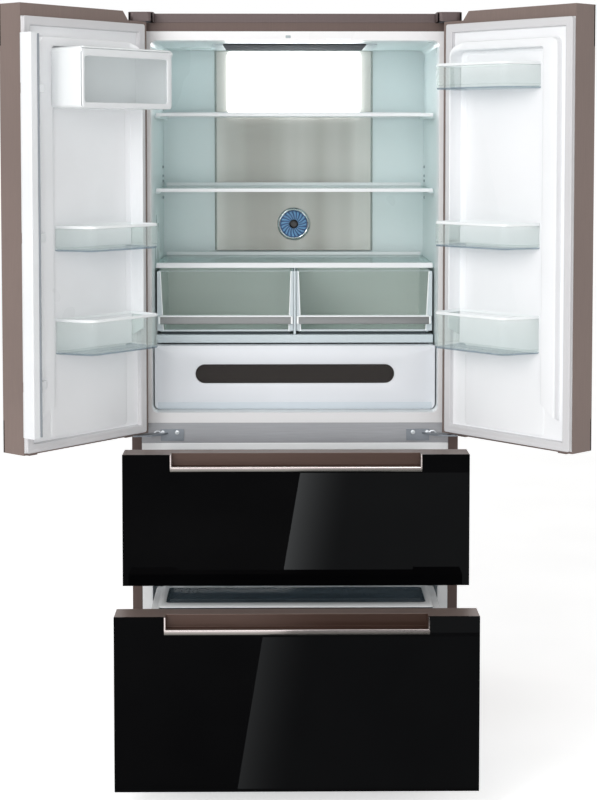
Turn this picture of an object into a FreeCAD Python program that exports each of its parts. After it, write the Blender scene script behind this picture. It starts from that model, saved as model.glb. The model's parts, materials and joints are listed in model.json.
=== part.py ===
"""Four-door refrigerator: two hinged doors over two freezer drawers.

Lengths are millimetres.  Every piece is drawn in the cabinet's own coordinates: X to the right, Y from
the cabinet's front face to the rear, Z up from the floor.  The door pieces are drawn about their hinge
axis, with the door shut.  Each body's Placement then takes it to where it stands: doors open and freezer
drawers pulled out.
"""

import FreeCAD, Part
import math
import os

import Sketcher
from FreeCAD import Rotation, Vector

doc = FreeCAD.newDocument("Refrigerator")
sheet = doc.addObject("Spreadsheet::Sheet", "Sizes")

SIZES = {
    # Cabinet casing
    "cabinet_width": 836, "cabinet_top": 1847, "cabinet_depth": 600, "foot_height": 30,
    "sheet_wall": 1, "side_flange": 25, "top_flange": 22, "base_wall": 2,
    "foot_radius": 20, "foot_pad": 8, "foot_stem": 6, "foot_inset": 48, "foot_front": 52, "foot_rear": 40,
    # Fridge and freezer liners
    "liner_wall": 2.5, "liner_flange": 27, "liner_corner": 14,
    "fascia_tall": 23, "sill_low": 827, "sill_tall": 26, "fridge_rear": 120,
    "beam_low": 775, "freezer_top": 757, "freezer_floor": 86, "freezer_flange": 46, "freezer_rear": 65,
    "step_high": 285, "step_space": 40, "divider_low": 426, "divider_high": 505, "divider_deep": 30,
    # Machine compartment
    "machine_deep": 150, "machine_top": 250, "motor_radius": 62, "motor_tall": 150, "motor_x": 170,
    "motor_round": 30, "motor_foot": 8, "motor_foot_tall": 14, "motor_gap": 12,
    "pan_width": 230, "pan_deep": 100, "pan_tall": 46, "pan_x": -270, "pan_wall": 2,
    "louvre_wide": 90, "louvre_tall": 5, "louvre_step": 14, "louvre_low": 80,
    "inlet_wide": 30, "inlet_tall": 22, "inlet_deep": 16, "inlet_x": -330,
    # Doors
    "door_low": 810, "door_high": 1868, "front_thick": 72, "front_gap": 12, "door_gap": 2,
    "hinge_inset": 14, "hinge_front": 42, "glass_thick": 4, "casing_wall": 1.5, "lip_thick": 3,
    "top_band": 30, "bottom_band": 5, "hinge_band": 16,
    "gasket_wide": 22, "gasket_thick": 11.5, "gasket_core": 10,
    "left_door_open": 130, "right_door_open": 132,
    "notch_reach": 50, "notch_chamfer": 18, "notch_floor": 1845.5,
    "hinge_pin": 5, "pin_clearance": 0.05, "pin_boss": 9, "pin_deep": 27,
    "grip_low": 887, "grip_high": 1770, "grip_wide": 29, "grip_deep": 28, "grip_edge": 4,
    "stop_reach": 17, "stop_at": 45, "stop_tall": 5.5, "end_stop_at": 365,
    # Door liner's raised ridge and its drip edge
    "ridge_near": 318, "ridge_far": 362, "ridge_rise": 20, "ridge_low": 887, "ridge_slant": 33,
    "ridge_top": 1792, "ridge_band": 22, "ridge_hinge": 39.5, "ridge_wall": 4.2, "ridge_deep": 40,
    "ridge_turn": 26, "ridge_drop": 8, "ridge_round": 5, "ridge_end": 1062,
    # Mullion flap on the left door
    "flap_low": 858, "flap_high": 1797, "flap_wide": 47, "flap_thick": 22, "flap_pivot": 404,
    "flap_near": 19, "flap_pivot_depth": 20, "flap_sweep": 20.4, "seal_gap": 0.3, "flap_pin": 3,
    "flap_boss": 6.5, "flap_skin": 2.5,
    "knuckle_mid": 1323, "knuckle_step": 347, "knuckle_tall": 20, "knuckle_gap": 2, "arm_thick": 11,
    # Door bins
    "bin_hinge": 44, "bin_taper": 2, "bin_far": 302, "bin_slant": 32, "bin_reach": 100, "bin_wall": 2.5,
    "bin_floor": 3, "bin_corner": 14, "bin_rim": 9, "bin_rim_out": 2,
    "left_middle_bin": 1286, "left_middle_tall": 61, "left_lower_bin": 1040, "left_lower_tall": 85,
    "right_upper_bin": 1673, "right_upper_tall": 63, "right_middle_bin": 1290, "right_middle_tall": 62,
    "right_lower_bin": 1039, "right_lower_tall": 91,
    # Dairy box
    "dairy_hinge": 44, "dairy_far": 345, "dairy_low": 1624, "dairy_tall": 142, "dairy_reach": 140,
    "dairy_wall": 3, "dairy_cover_thick": 5, "dairy_gap": 0.3, "dairy_pin": 2.5, "dairy_frame": 14,
    "dairy_pane": 2, "dairy_drop": 8,
    # Shelves
    "shelf_clear": 4, "shelf_front": 128, "shelf_space": 25, "shelf_glass": 5,
    "top_shelf_at": 1620, "middle_shelf_at": 1423, "crisper_shelf_at": 1228,
    "trim_deep": 14, "trim_tall": 9, "trim_over": 1, "trim_grip": 6, "crisper_trim_tall": 13,
    "stop_trim_deep": 8, "stop_trim_rise": 9, "rib_wide": 14, "rib_tall": 8, "rib_inset": 10,
    # Back wall of the fridge compartment
    "duct_half": 223, "duct_thick": 14, "duct_low": 1240, "duct_high": 1800, "duct_bevel": 6,
    "lamp_half": 186, "lamp_low": 1627, "lamp_high": 1797, "lamp_thick": 8, "lamp_corner": 12,
    "filter_at": 1315, "filter_ring": 46, "filter_face": 36.5, "filter_hub": 8.5, "filter_rise": 10,
    "filter_step": 3, "vent_front": 150, "vent_space": 70, "vent_drop": 4, "vent_end": 30,
    "vent_slot": 12, "vent_bar": 22,
    # Crispers and the wide drawer below them
    "cover_low": 1021, "cover_high": 1042, "cover_front": 100, "cover_space": 32, "cover_plate": 5,
    "slide_gap": 0.3, "crisper_top": 1208, "crisper_front": 120, "crisper_space": 40, "crisper_wall": 2.5,
    "crisper_face": 4, "crisper_split": 4, "crisper_clear": 5, "crisper_bar_low": 1069,
    "crisper_bar_tall": 21, "crisper_bar_out": 13, "crisper_corner": 10,
    "chiller_front": 47, "chiller_face": 10, "chiller_space": 48, "chiller_clear": 3, "chiller_top": 1019,
    "chiller_wall": 3, "chiller_tray_top": 1006, "chiller_tray_clear": 16, "chiller_corner": 16,
    "window_half": 257, "window_low": 922, "window_tall": 49, "window_thick": 4,
    # Freezer drawers
    "upper_low": 476.6, "upper_high": 795.3, "lower_low": 58, "lower_high": 464.6,
    "upper_out": 196, "lower_out": 426, "pull_half": 300, "pull_drop": 29, "pull_deep": 26,
    "pull_lip": 12.5, "pull_proud": 2.5, "pull_end": 3, "drawer_seal_top": 16, "drawer_seal": 6,
    "basket_front": 10, "basket_wall": 3, "basket_half": 336, "basket_shoulder": 351.5,
    "upper_basket_low": 511, "upper_basket_high": 742, "upper_basket_space": 30,
    "lower_basket_low": 92, "lower_basket_high": 418, "lower_basket_space": 12, "basket_rim": 10,
    "rib_count_step": 60, "rib_deep": 4,
    # Telescopic slides
    "rail_front": 34, "rail_space": 56, "rail_tall": 40, "rail_deep": 13, "rail_wall": 1.5, "rail_gap": 0.3,
    "upper_rail_at": 560, "lower_rail_at": 310, "ledge_inner": 338, "bracket_tall": 24,
    # Freezer air duct, evaporator and fan
    "duct_cover_space": 65, "duct_cover_thick": 3, "duct_cover_rise": 8, "fan_at": 670, "fan_radius": 55,
    "fan_gap": 3, "fan_hub": 17, "fan_deep": 16, "blade_thick": 2, "blade_twist": 9, "fan_shaft": 3,
    "evap_half": 240, "evap_low": 320, "evap_high": 580, "evap_deep": 46, "fin_pitch": 24,
    "fin_thick": 1.5, "tube_radius": 4, "tube_rows": 4, "fan_mount": 22, "duct_slot_tall": 12,
    "duct_slot_half": 110, "duct_slot_step": 40,
    # Hinges, top covers
    "top_plate": 4, "top_plate_rear": 62, "top_plate_inner": 366, "arm_low": 799, "arm_plate": 4,
    "bracket_inner": 285, "bracket_outer": 344, "bracket_low": 781, "bracket_high": 811,
    "bracket_plate": 4, "collar_radius": 8, "arm_round": 10, "hinge_screw": 4, "screw_inner": 300,
    "screw_outer": 337, "screw_head": 2.5, "cover_end": 354.5, "cap_front": 56, "cap_rear": 66,
    "cap_wall": 2.5, "cap_tall": 23, "cap_round": 4, "trim_rear": 45, "trim_join": 0.5,
    # Shared overrun of a cut past the face that it opens
    "overrun": 6,
}


class Size:
    """A length with the sheet formula that gives it, so sums of sizes stay bound to the sheet."""

    def __init__(self, text, value):
        self.text = text
        self.value = float(value)

    def join(self, sign, other, swapped=False):
        left, right = (as_size(other), self) if swapped else (self, as_size(other))
        value = {
            "+": lambda: left.value + right.value,
            "-": lambda: left.value - right.value,
            "*": lambda: left.value * right.value,
            "/": lambda: left.value / right.value,
        }[sign]()
        return Size(f"({left.text} {sign} {right.text})", value)

    def __add__(self, other):
        return self.join("+", other)

    def __sub__(self, other):
        return self.join("-", other)

    def __mul__(self, other):
        return self.join("*", other)

    def __truediv__(self, other):
        return self.join("/", other)

    def __radd__(self, other):
        return self.join("+", other, swapped=True)

    def __rsub__(self, other):
        return self.join("-", other, swapped=True)

    def __rmul__(self, other):
        return self.join("*", other, swapped=True)

    def __neg__(self):
        return Size(f"(-1 * {self.text})", -self.value)

    def __float__(self):
        return self.value


def as_size(number):
    """A plain number as a Size, and a Size as it is."""
    return number if isinstance(number, Size) else Size(repr(float(number)), number)


class Cells:
    """The named sizes, read as attributes."""


def fill_sheet():
    """Write each named size into the sheet and return them all."""
    cells = Cells()
    for row, (name, value) in enumerate(SIZES.items(), start=1):
        sheet.set(f"A{row}", name)
        sheet.set(f"B{row}", str(value))
        sheet.setAlias(f"B{row}", name)
        setattr(cells, name, Size(f"Sizes.{name}", value))
    doc.recompute()
    return cells


c = fill_sheet()

# Places worked out from the driving dimensions
half_width = c.cabinet_width / 2
flange_edge = half_width - c.side_flange
cavity_half = flange_edge - c.liner_flange
fascia_top = c.cabinet_top - c.top_flange
ceiling = fascia_top - c.fascia_tall
fridge_floor = c.sill_low + c.sill_tall
base_top = c.foot_height + c.base_wall
front_back = -c.front_gap
front_face = front_back - c.front_thick
hinge_x = half_width - c.hinge_inset
cap_top = c.cabinet_top + c.cap_tall
hinge_y = -c.hinge_front
shelf_half = cavity_half - c.shelf_clear
# Depths, from the casing's rear inwards
machine_front = c.cabinet_depth - c.machine_deep
back_wall = c.cabinet_depth - c.fridge_rear
freezer_wall = c.cabinet_depth - c.freezer_rear
step_wall = machine_front - c.step_space
shelf_rear = back_wall - c.shelf_space
vent_rear = back_wall - c.vent_space
cover_rear = back_wall - c.cover_space
crisper_rear = back_wall - c.crisper_space
chiller_rear = back_wall - c.chiller_space
duct_cover_front = freezer_wall - c.duct_cover_space
upper_basket_rear = duct_cover_front - c.upper_basket_space
lower_basket_rear = step_wall - c.lower_basket_space
rail_rear = duct_cover_front - c.rail_space
duct_front = back_wall - c.duct_thick

# Door coordinates: u runs from the hinge axis to the free edge, v from the axis into the fridge
u_hinge = -c.hinge_inset
u_free = hinge_x - c.door_gap
v_inner = front_back - hinge_y
v_outer = front_face - hinge_y
v_casing = v_outer + c.glass_thick
v_front = -hinge_y
door_seal_low = c.door_low + c.bottom_band
door_seal_high = c.door_high - c.top_band
door_seal_hinge = u_hinge + c.hinge_band
door_seal_free = u_free - c.casing_wall

# The part stands with its origin on the floor, under the middle of the space that it takes up with its
# drawers pulled out
frame_shift = (c.lower_out - front_face - c.cabinet_depth) / 2

pieces = {}


def text_of(size):
    return as_size(size).text


def piece(label, place=None):
    """Start a sub-part's body, and note the placement that it gets at the end."""
    body = doc.addObject("PartDesign::Body", label)
    body.Label = label
    body.AllowCompound = True
    pieces[label] = body
    x, y, turn = place or (0, 0, 0)
    vector = f"create(<<vector>>; {text_of(x)}; {text_of(y + frame_shift)}; 0)"
    rotation = f"create(<<rotation>>; create(<<vector>>; 0; 0; 1); {text_of(turn)})"
    body.setExpression("Placement", f"create(<<placement>>; {vector}; {rotation})")
    return body


def bind(feature, **sizes):
    """Bind a feature's properties to the sheet; Base_x stands for Placement.Base.x."""
    for name, size in sizes.items():
        path = name.replace("Base_", "Placement.Base.")
        feature.setExpression(path, text_of(size))
    return feature


def box(body, x, y, z, cut=False):
    """Add a block, or cut one away, between the pairs of limits x, y and z."""
    kind = "PartDesign::SubtractiveBox" if cut else "PartDesign::AdditiveBox"
    feature = body.newObject(kind, "Block")
    bind(feature, Length=x[1] - x[0], Width=y[1] - y[0], Height=z[1] - z[0])
    return bind(feature, Base_x=x[0], Base_y=y[0], Base_z=z[0])


def hole_box(body, x, y, z):
    return box(body, x, y, z, cut=True)


def cylinder(body, base, radius, length, axis="Z", cut=False):
    """Add or cut a cylinder that starts at base and runs along +X, +Y or +Z."""
    kind = "PartDesign::SubtractiveCylinder" if cut else "PartDesign::AdditiveCylinder"
    feature = body.newObject(kind, "Round")
    turns = {"X": Rotation(Vector(0, 1, 0), 90), "Y": Rotation(Vector(1, 0, 0), -90), "Z": Rotation()}
    feature.Placement = FreeCAD.Placement(Vector(), turns[axis])
    bind(feature, Radius=radius, Height=length)
    return bind(feature, Base_x=base[0], Base_y=base[1], Base_z=base[2])


def origin_feature(body, role):
    """The body's own origin plane or axis of that role."""
    return [item for item in body.Origin.OriginFeatures if item.Role == role][0]


def draw_outline(body, role, points, low):
    """A closed, fully placed outline on one of the body's origin planes, moved along it by low."""
    sketch = body.newObject("Sketcher::SketchObject", "Outline")
    sketch.AttachmentSupport = [(origin_feature(body, role), "")]
    sketch.MapMode = "FlatFace"
    sketch.setExpression("AttachmentOffset.Base.z", text_of(low))
    count = len(points)
    for index, point in enumerate(points):
        following = points[(index + 1) % count]
        start = Vector(float(point[0]), float(point[1]), 0)
        end = Vector(float(following[0]), float(following[1]), 0)
        sketch.addGeometry(Part.LineSegment(start, end), False)
    joints = [Sketcher.Constraint("Coincident", i, 2, (i + 1) % count, 1) for i in range(count)]
    sketch.addConstraint(joints)
    for index, point in enumerate(points):
        for kind, size in zip(("DistanceX", "DistanceY"), point):
            number = sketch.addConstraint(Sketcher.Constraint(kind, -1, 1, index, 1, float(size)))
            sketch.setExpression(f"Constraints[{number}]", text_of(size))
    return sketch


def extrude(body, plane, points, low, high, cut=False):
    """Pad or pocket an outline between two heights.

    Plane XY takes (x, y) points and runs up Z, YZ takes (y, z) and runs along X, and XZ takes (x, z) and
    runs along Y, where the sketch plane faces -Y.
    """
    backwards = plane == "XZ"
    offset = -high if backwards else low
    doc.recompute()
    before = body.Tip.Shape.Volume if cut else 0
    sketch = draw_outline(body, f"{plane}_Plane", points, offset)
    kind = "PartDesign::Pocket" if cut else "PartDesign::Pad"
    feature = body.newObject(kind, "Profile")
    feature.Profile = sketch
    feature.Reversed = cut
    bind(feature, Length=high - low)
    doc.recompute()
    if cut and feature.Shape.Volume >= before:
        raise ValueError(f"a pocket in {body.Label} cuts nothing")
    return feature


def pattern_along(body, feature, role, length, count):
    """Repeat a feature along one of the body's axes."""
    pattern = body.newObject("PartDesign::LinearPattern", "Row")
    pattern.Originals = [feature]
    pattern.Direction = (origin_feature(body, role), [""])
    bind(pattern, Length=length)
    pattern.Occurrences = count
    body.Tip = pattern
    return pattern


def mirror_across(body, features, role):
    """Mirror features across one of the body's planes."""
    mirrored = body.newObject("PartDesign::Mirrored", "Mirror")
    mirrored.Originals = features
    mirrored.MirrorPlane = (origin_feature(body, role), [""])
    body.Tip = mirrored
    return mirrored


def fillet(body, radius, choose):
    """Fillet the edges of the body so far that the test choose picks out."""
    doc.recompute()
    base = body.Tip
    names = [f"Edge{i}" for i, edge in enumerate(base.Shape.Edges, start=1) if choose(edge)]
    if not names:
        raise ValueError(f"no edge to round on {body.Label}")
    feature = body.newObject("PartDesign::Fillet", "Edging")
    feature.Base = (base, names)
    body.Tip = feature
    return bind(feature, Radius=radius)


def round_edges(body, radius, axis, corners, level=None):
    """Fillet the edges that run along axis through the given places across it.

    With a pair of limits as level, only edges whose middle lies between them along the axis.
    """
    number = "XYZ".index(axis)
    across = [i for i in range(3) if i != number]

    def choose(edge):
        bounds = edge.BoundBox
        spans = (bounds.XLength, bounds.YLength, bounds.ZLength)
        middle = (bounds.Center.x, bounds.Center.y, bounds.Center.z)
        straight = max(spans[i] for i in across) < 1e-4
        inside = level is None or float(level[0]) < middle[number] < float(level[1])
        near = any(
            abs(middle[across[0]] - float(a)) < 1e-3 and abs(middle[across[1]] - float(b)) < 1e-3
            for a, b in corners
        )
        return straight and inside and near

    return fillet(body, radius, choose)


def spread(half):
    """The limits of a span that lies evenly about the middle."""
    return (-half, half)


# Cabinet


def make_outer_cabinet():
    body = piece("outer_cabinet")
    depth = (0, c.cabinet_depth)
    box(body, spread(half_width), depth, (c.foot_height, c.cabinet_top))
    inner = half_width - c.sheet_wall
    inside = (c.foot_height - c.overrun, c.cabinet_top - c.sheet_wall)
    hole_box(body, spread(inner), (c.sheet_wall, c.cabinet_depth + c.overrun), inside)
    opening = (c.foot_height - c.overrun, fascia_top)
    hole_box(body, spread(flange_edge), (-c.overrun, c.sheet_wall + c.overrun), opening)


def make_cabinet_foam():
    body = piece("cabinet_foam")
    inner = half_width - c.sheet_wall
    rear = c.cabinet_depth - c.sheet_wall
    box(body, spread(inner), (c.liner_wall, rear), (base_top, c.cabinet_top - c.sheet_wall))
    cavity = spread(cavity_half + c.liner_wall)
    wall = c.liner_wall
    hole_box(body, cavity, (0, back_wall + wall), (fridge_floor - wall, ceiling + wall))
    hole_box(body, cavity, (0, freezer_wall + wall), (c.step_high - wall, c.freezer_top + wall))
    hole_box(body, cavity, (0, step_wall + wall), (c.freezer_floor - wall, c.step_high))
    machine = (base_top - c.overrun, c.machine_top)
    hole_box(body, spread(half_width), (machine_front, c.cabinet_depth), machine)


def make_fridge_liner():
    body = piece("fridge_liner")
    wall = c.liner_wall
    outer = spread(cavity_half + wall)
    box(body, outer, (0, back_wall + wall), (fridge_floor - wall, ceiling + wall))
    box(body, spread(flange_edge), (0, wall), (c.sill_low, fascia_top))
    cavity = (-c.overrun, back_wall)
    hole_box(body, spread(cavity_half), cavity, (fridge_floor, ceiling))
    corners = [(side * cavity_half, level) for side in (-1, 1) for level in (fridge_floor, ceiling)]
    round_edges(body, c.liner_corner, "Y", corners)
    # Ribs on both side walls carry the shelves and the cover over the wide drawer
    rib = (cavity_half - c.rib_wide, cavity_half + wall / 2)
    span = (c.shelf_front + c.rib_inset, shelf_rear - c.rib_inset)
    tops = [c.top_shelf_at, c.middle_shelf_at, c.crisper_shelf_at]
    levels = [top - c.shelf_glass for top in tops] + [c.cover_low]
    ribs = [box(body, rib, span, (level - c.rib_tall, level)) for level in levels]
    mirror_across(body, ribs, "YZ_Plane")


def make_freezer_liner():
    body = piece("freezer_liner")
    wall = c.liner_wall
    outer = spread(cavity_half + wall)
    upper = (c.step_high - wall, c.freezer_top + wall)
    box(body, outer, (0, freezer_wall + wall), upper)
    box(body, outer, (0, step_wall + wall), (c.freezer_floor - wall, c.freezer_top))
    box(body, spread(flange_edge), (0, wall), (c.freezer_flange, c.beam_low))
    inner = spread(cavity_half)
    hole_box(body, inner, (-c.overrun, freezer_wall), (c.step_high, c.freezer_top))
    hole_box(body, inner, (-c.overrun, step_wall), (c.freezer_floor, c.step_high + wall))


def make_cross_rails():
    """The metal beam between the compartments and the rail between the two freezer drawers."""
    body = piece("cross_rails")
    box(body, spread(flange_edge), (0, c.liner_wall), (c.beam_low, c.sill_low))
    box(body, spread(cavity_half), (0, c.divider_deep), (c.divider_low, c.divider_high))
    inside = (c.divider_low + c.liner_wall, c.divider_high - c.liner_wall)
    open_behind = (c.liner_wall, c.divider_deep + c.overrun)
    hole_box(body, spread(cavity_half - c.liner_wall), open_behind, inside)


def make_rear_panels():
    """The flat rear sheet, and below it the louvred machine cover with the mains inlet."""
    body = piece("rear_panels")
    inner = half_width - c.sheet_wall
    rear = (c.cabinet_depth - c.sheet_wall, c.cabinet_depth)
    box(body, spread(inner), rear, (c.machine_top, c.cabinet_top - c.sheet_wall))
    box(body, spread(inner), rear, (base_top, c.machine_top))
    cut = (rear[0] - c.overrun, rear[1] + c.overrun)
    for place in (-1, 0, 1):
        middle = c.louvre_wide * 2 * place
        slot = (middle - c.louvre_wide / 2, middle + c.louvre_wide / 2)
        first = hole_box(body, slot, cut, (c.louvre_low, c.louvre_low + c.louvre_tall))
        count = 9
        pattern_along(body, first, "Z_Axis", c.louvre_step * (count - 1), count)
    wide = (c.inlet_x - c.inlet_wide / 2, c.inlet_x + c.inlet_wide / 2)
    tall = (c.louvre_low, c.louvre_low + c.inlet_tall)
    wall = c.sheet_wall
    deep = (rear[0] - c.inlet_deep, rear[1])
    box(body, (wide[0] - wall, wide[1] + wall), deep, (tall[0] - wall, tall[1] + wall))
    hole_box(body, wide, (deep[0] + wall, deep[1] + c.overrun), tall)


def make_base_pan():
    body = piece("base_pan")
    inner = spread(half_width - c.sheet_wall)
    rear = c.cabinet_depth - c.sheet_wall
    box(body, inner, (c.sheet_wall, rear), (c.foot_height, base_top))


def make_levelling_feet():
    body = piece("levelling_feet")
    for side in (-1, 1):
        for y in (c.foot_front, c.cabinet_depth - c.foot_rear):
            x = side * (half_width - c.foot_inset)
            cylinder(body, (x, y, 0), c.foot_radius, c.foot_pad)
            cylinder(body, (x, y, 0), c.foot_stem, c.foot_height)


def make_compressor():
    body = piece("compressor")
    middle = (machine_front + c.cabinet_depth) / 2
    low = base_top + c.motor_foot_tall
    cylinder(body, (c.motor_x, middle, low), c.motor_radius, c.motor_tall)
    fillet(body, c.motor_round, lambda edge: edge.BoundBox.ZLength < 1e-4)
    plate = (c.motor_x - c.motor_radius, c.motor_x + c.motor_radius)
    across = (middle - c.motor_radius + c.motor_gap, middle + c.motor_radius - c.motor_gap)
    box(body, plate, across, (low, low + c.motor_foot / 2))
    for x in (plate[0] + c.motor_foot, plate[1] - c.motor_foot):
        for y in (across[0] + c.motor_foot, across[1] - c.motor_foot):
            cylinder(body, (x, y, base_top), c.motor_foot, c.motor_foot_tall)


def make_drain_pan():
    body = piece("drain_pan")
    middle = (machine_front + c.cabinet_depth) / 2
    wide = (c.pan_x, c.pan_x + c.pan_width)
    deep = (middle - c.pan_deep / 2, middle + c.pan_deep / 2)
    box(body, wide, deep, (base_top, base_top + c.pan_tall))
    wall = c.pan_wall
    inside = (deep[0] + wall, deep[1] - wall)
    top = base_top + c.pan_tall + c.overrun
    hole_box(body, (wide[0] + wall, wide[1] - wall), inside, (base_top + wall, top))


# Freezer back wall


def make_freezer_duct_cover():
    body = piece("freezer_duct_cover")
    front = duct_cover_front
    rear = front + c.duct_cover_thick
    low = c.step_high
    box(body, spread(cavity_half), (front, rear), (low, c.freezer_top))
    ring = c.fan_radius + c.fan_gap
    start = front - c.duct_cover_rise
    length = rear - start
    cylinder(body, (0, start, c.fan_at), ring + c.fan_gap, length, "Y")
    through = length + c.overrun * 2
    cylinder(body, (0, start - c.overrun, c.fan_at), ring, through, "Y", cut=True)
    slots = (front - c.overrun, rear + c.overrun)
    first_low = low + c.duct_slot_step
    first = hole_box(body, spread(c.duct_slot_half), slots, (first_low, first_low + c.duct_slot_tall))
    count = 4
    pattern_along(body, first, "Z_Axis", c.duct_slot_step * (count - 1), count)


def make_evaporator():
    """Finned coil between the duct cover and the liner, with the post that carries the fan."""
    body = piece("evaporator")
    rear = freezer_wall
    deep = (rear - c.evap_deep, rear)
    first = box(body, (-c.evap_half, -c.evap_half + c.fin_thick), deep, (c.evap_low, c.evap_high))
    count = int(float(c.evap_half * 2 / c.fin_pitch)) + 1
    pattern_along(body, first, "X_Axis", c.evap_half * 2 - c.fin_thick, count)
    rise = (c.evap_high - c.evap_low) / (c.tube_rows + 1)
    middle = (deep[0] + deep[1]) / 2
    for row in range(1, 5):
        start = (-c.evap_half, middle, c.evap_low + rise * row)
        cylinder(body, start, c.tube_radius, c.evap_half * 2, "X")
    # The fan motor stands on the liner's rear wall behind the fan
    motor_front = duct_cover_front + c.fan_deep / 2 + c.fan_gap
    cylinder(body, (0, motor_front, c.fan_at), c.fan_hub, rear - motor_front, "Y")
    bridge = (c.evap_high, c.fan_at)
    box(body, spread(c.fan_mount / 2), (rear - c.fin_thick * 2, rear), bridge)
    shaft_start = motor_front - c.fan_deep
    cylinder(body, (0, shaft_start, c.fan_at), c.fan_shaft, c.fan_deep, "Y")


def make_evaporator_fan():
    """Hub and blades on the motor's shaft; drawn about Z and turned to face the freezer."""
    label = "evaporator_fan"
    body = doc.addObject("PartDesign::Body", label)
    body.Label = label
    body.AllowCompound = True
    pieces[label] = body
    depth = c.fan_deep - c.fan_gap
    cylinder(body, (0, 0, 0), c.fan_hub, depth)
    half = c.blade_thick / 2
    reach = c.fan_radius - c.blade_thick
    top = depth - c.blade_thick
    outline = [
        (-c.blade_twist - half, c.blade_thick), (-c.blade_twist + half, c.blade_thick),
        (c.blade_twist + half, top), (c.blade_twist - half, top),
    ]
    blade = extrude(body, "YZ", outline, c.fan_hub - c.blade_thick, reach)
    ring = body.newObject("PartDesign::PolarPattern", "Blades")
    ring.Originals = [blade]
    ring.Axis = (origin_feature(body, "Z_Axis"), [""])
    ring.Occurrences = 7
    body.Tip = ring
    bore = c.fan_shaft + c.pin_clearance
    cylinder(body, (0, 0, -c.overrun), bore, depth + c.overrun * 2, cut=True)
    front = duct_cover_front - c.fan_deep / 2 + c.fan_gap
    vector = f"create(<<vector>>; 0; {text_of(front + frame_shift)}; {text_of(c.fan_at)})"
    rotation = "create(<<rotation>>; create(<<vector>>; 1; 0; 0); -90)"
    body.setExpression("Placement", f"create(<<placement>>; {vector}; {rotation})")


# Inside the fridge compartment


def make_duct_panel():
    body = piece("duct_panel")
    outline = [
        (-c.duct_half, back_wall), (c.duct_half, back_wall),
        (c.duct_half - c.duct_bevel, duct_front), (-c.duct_half + c.duct_bevel, duct_front),
    ]
    extrude(body, "XY", outline, c.duct_low, c.duct_high)


def make_light_panel():
    body = piece("light_panel")
    deep = (duct_front - c.lamp_thick, duct_front)
    box(body, spread(c.lamp_half), deep, (c.lamp_low, c.lamp_high))
    corners = [(side * c.lamp_half, z) for side in (-1, 1) for z in (c.lamp_low, c.lamp_high)]
    round_edges(body, c.lamp_corner, "Y", corners)


def make_air_filter():
    """Round filter: an outer ring, with a face disc and hub inside it."""
    body = piece("air_filter")
    start = duct_front - c.filter_rise
    cylinder(body, (0, start, c.filter_at), c.filter_ring, c.filter_rise, "Y")
    inner = c.filter_face + c.pin_clearance
    through = c.filter_rise + c.overrun * 2
    cylinder(body, (0, start - c.overrun, c.filter_at), inner, through, "Y", cut=True)
    face_start = start + c.filter_step
    cylinder(body, (0, face_start, c.filter_at), c.filter_face, c.filter_rise - c.filter_step, "Y")
    cylinder(body, (0, start, c.filter_at), c.filter_hub, c.filter_rise, "Y")


def make_ceiling_vent():
    body = piece("ceiling_vent")
    half = c.lamp_half + c.vent_end
    level = (ceiling - c.vent_drop, ceiling)
    box(body, spread(half), (c.vent_front, vent_rear), level)
    span = (c.vent_front + c.vent_bar / 2, c.vent_front + c.vent_bar / 2 + c.vent_slot)
    slot = hole_box(body, spread(c.lamp_half), span, (level[0] - c.overrun, level[1] + c.overrun))
    pitch = c.vent_slot + c.vent_bar / 2
    count = int(float((vent_rear - span[1]) / pitch)) + 1
    pattern_along(body, slot, "Y_Axis", pitch * (count - 1), count)


def make_shelf(label, top):
    body = piece(label)
    rear = shelf_rear
    box(body, spread(shelf_half), (c.shelf_front, rear), (top - c.shelf_glass, top))
    corners = [(side * shelf_half, rear) for side in (-1, 1)]
    round_edges(body, c.shelf_glass, "Z", corners)


def make_shelf_trims():
    """A nosing that grips each shelf's front edge, and a raised stop along its rear edge."""
    body = piece("shelf_trims")
    shelves = [
        (c.top_shelf_at, c.trim_tall), (c.middle_shelf_at, c.trim_tall),
        (c.crisper_shelf_at, c.crisper_trim_tall),
    ]
    for top, tall in shelves:
        front = (c.shelf_front + c.trim_grip - c.trim_deep, c.shelf_front + c.trim_grip)
        box(body, spread(shelf_half), front, (top + c.trim_over - tall, top + c.trim_over))
        rear_edge = shelf_rear
        rear = (rear_edge - c.trim_grip, rear_edge - c.trim_grip + c.stop_trim_deep)
        level = (top - c.shelf_glass - c.trim_over, top + c.stop_trim_rise)
        box(body, spread(shelf_half - c.shelf_glass), rear, level)
        hole_box(body, spread(half_width), (c.shelf_front, rear_edge), (top - c.shelf_glass, top))


def make_drawer_cover():
    """Plate between the wide drawer and the crispers, with the wall that parts the crispers."""
    body = piece("drawer_cover")
    deep = (c.cover_front, cover_rear)
    box(body, spread(shelf_half), deep, (c.cover_low, c.cover_high))
    inner = spread(shelf_half - c.rib_wide)
    under = (c.cover_low - c.overrun, c.cover_high - c.cover_plate)
    hole_box(body, inner, (c.cover_front + c.cover_plate, cover_rear + c.overrun), under)
    wall = spread(c.crisper_split / 2)
    top = c.crisper_shelf_at - c.crisper_trim_tall
    parting = (c.crisper_front + c.crisper_face, crisper_rear)
    box(body, wall, parting, (c.cover_high - c.cover_plate, top))


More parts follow.
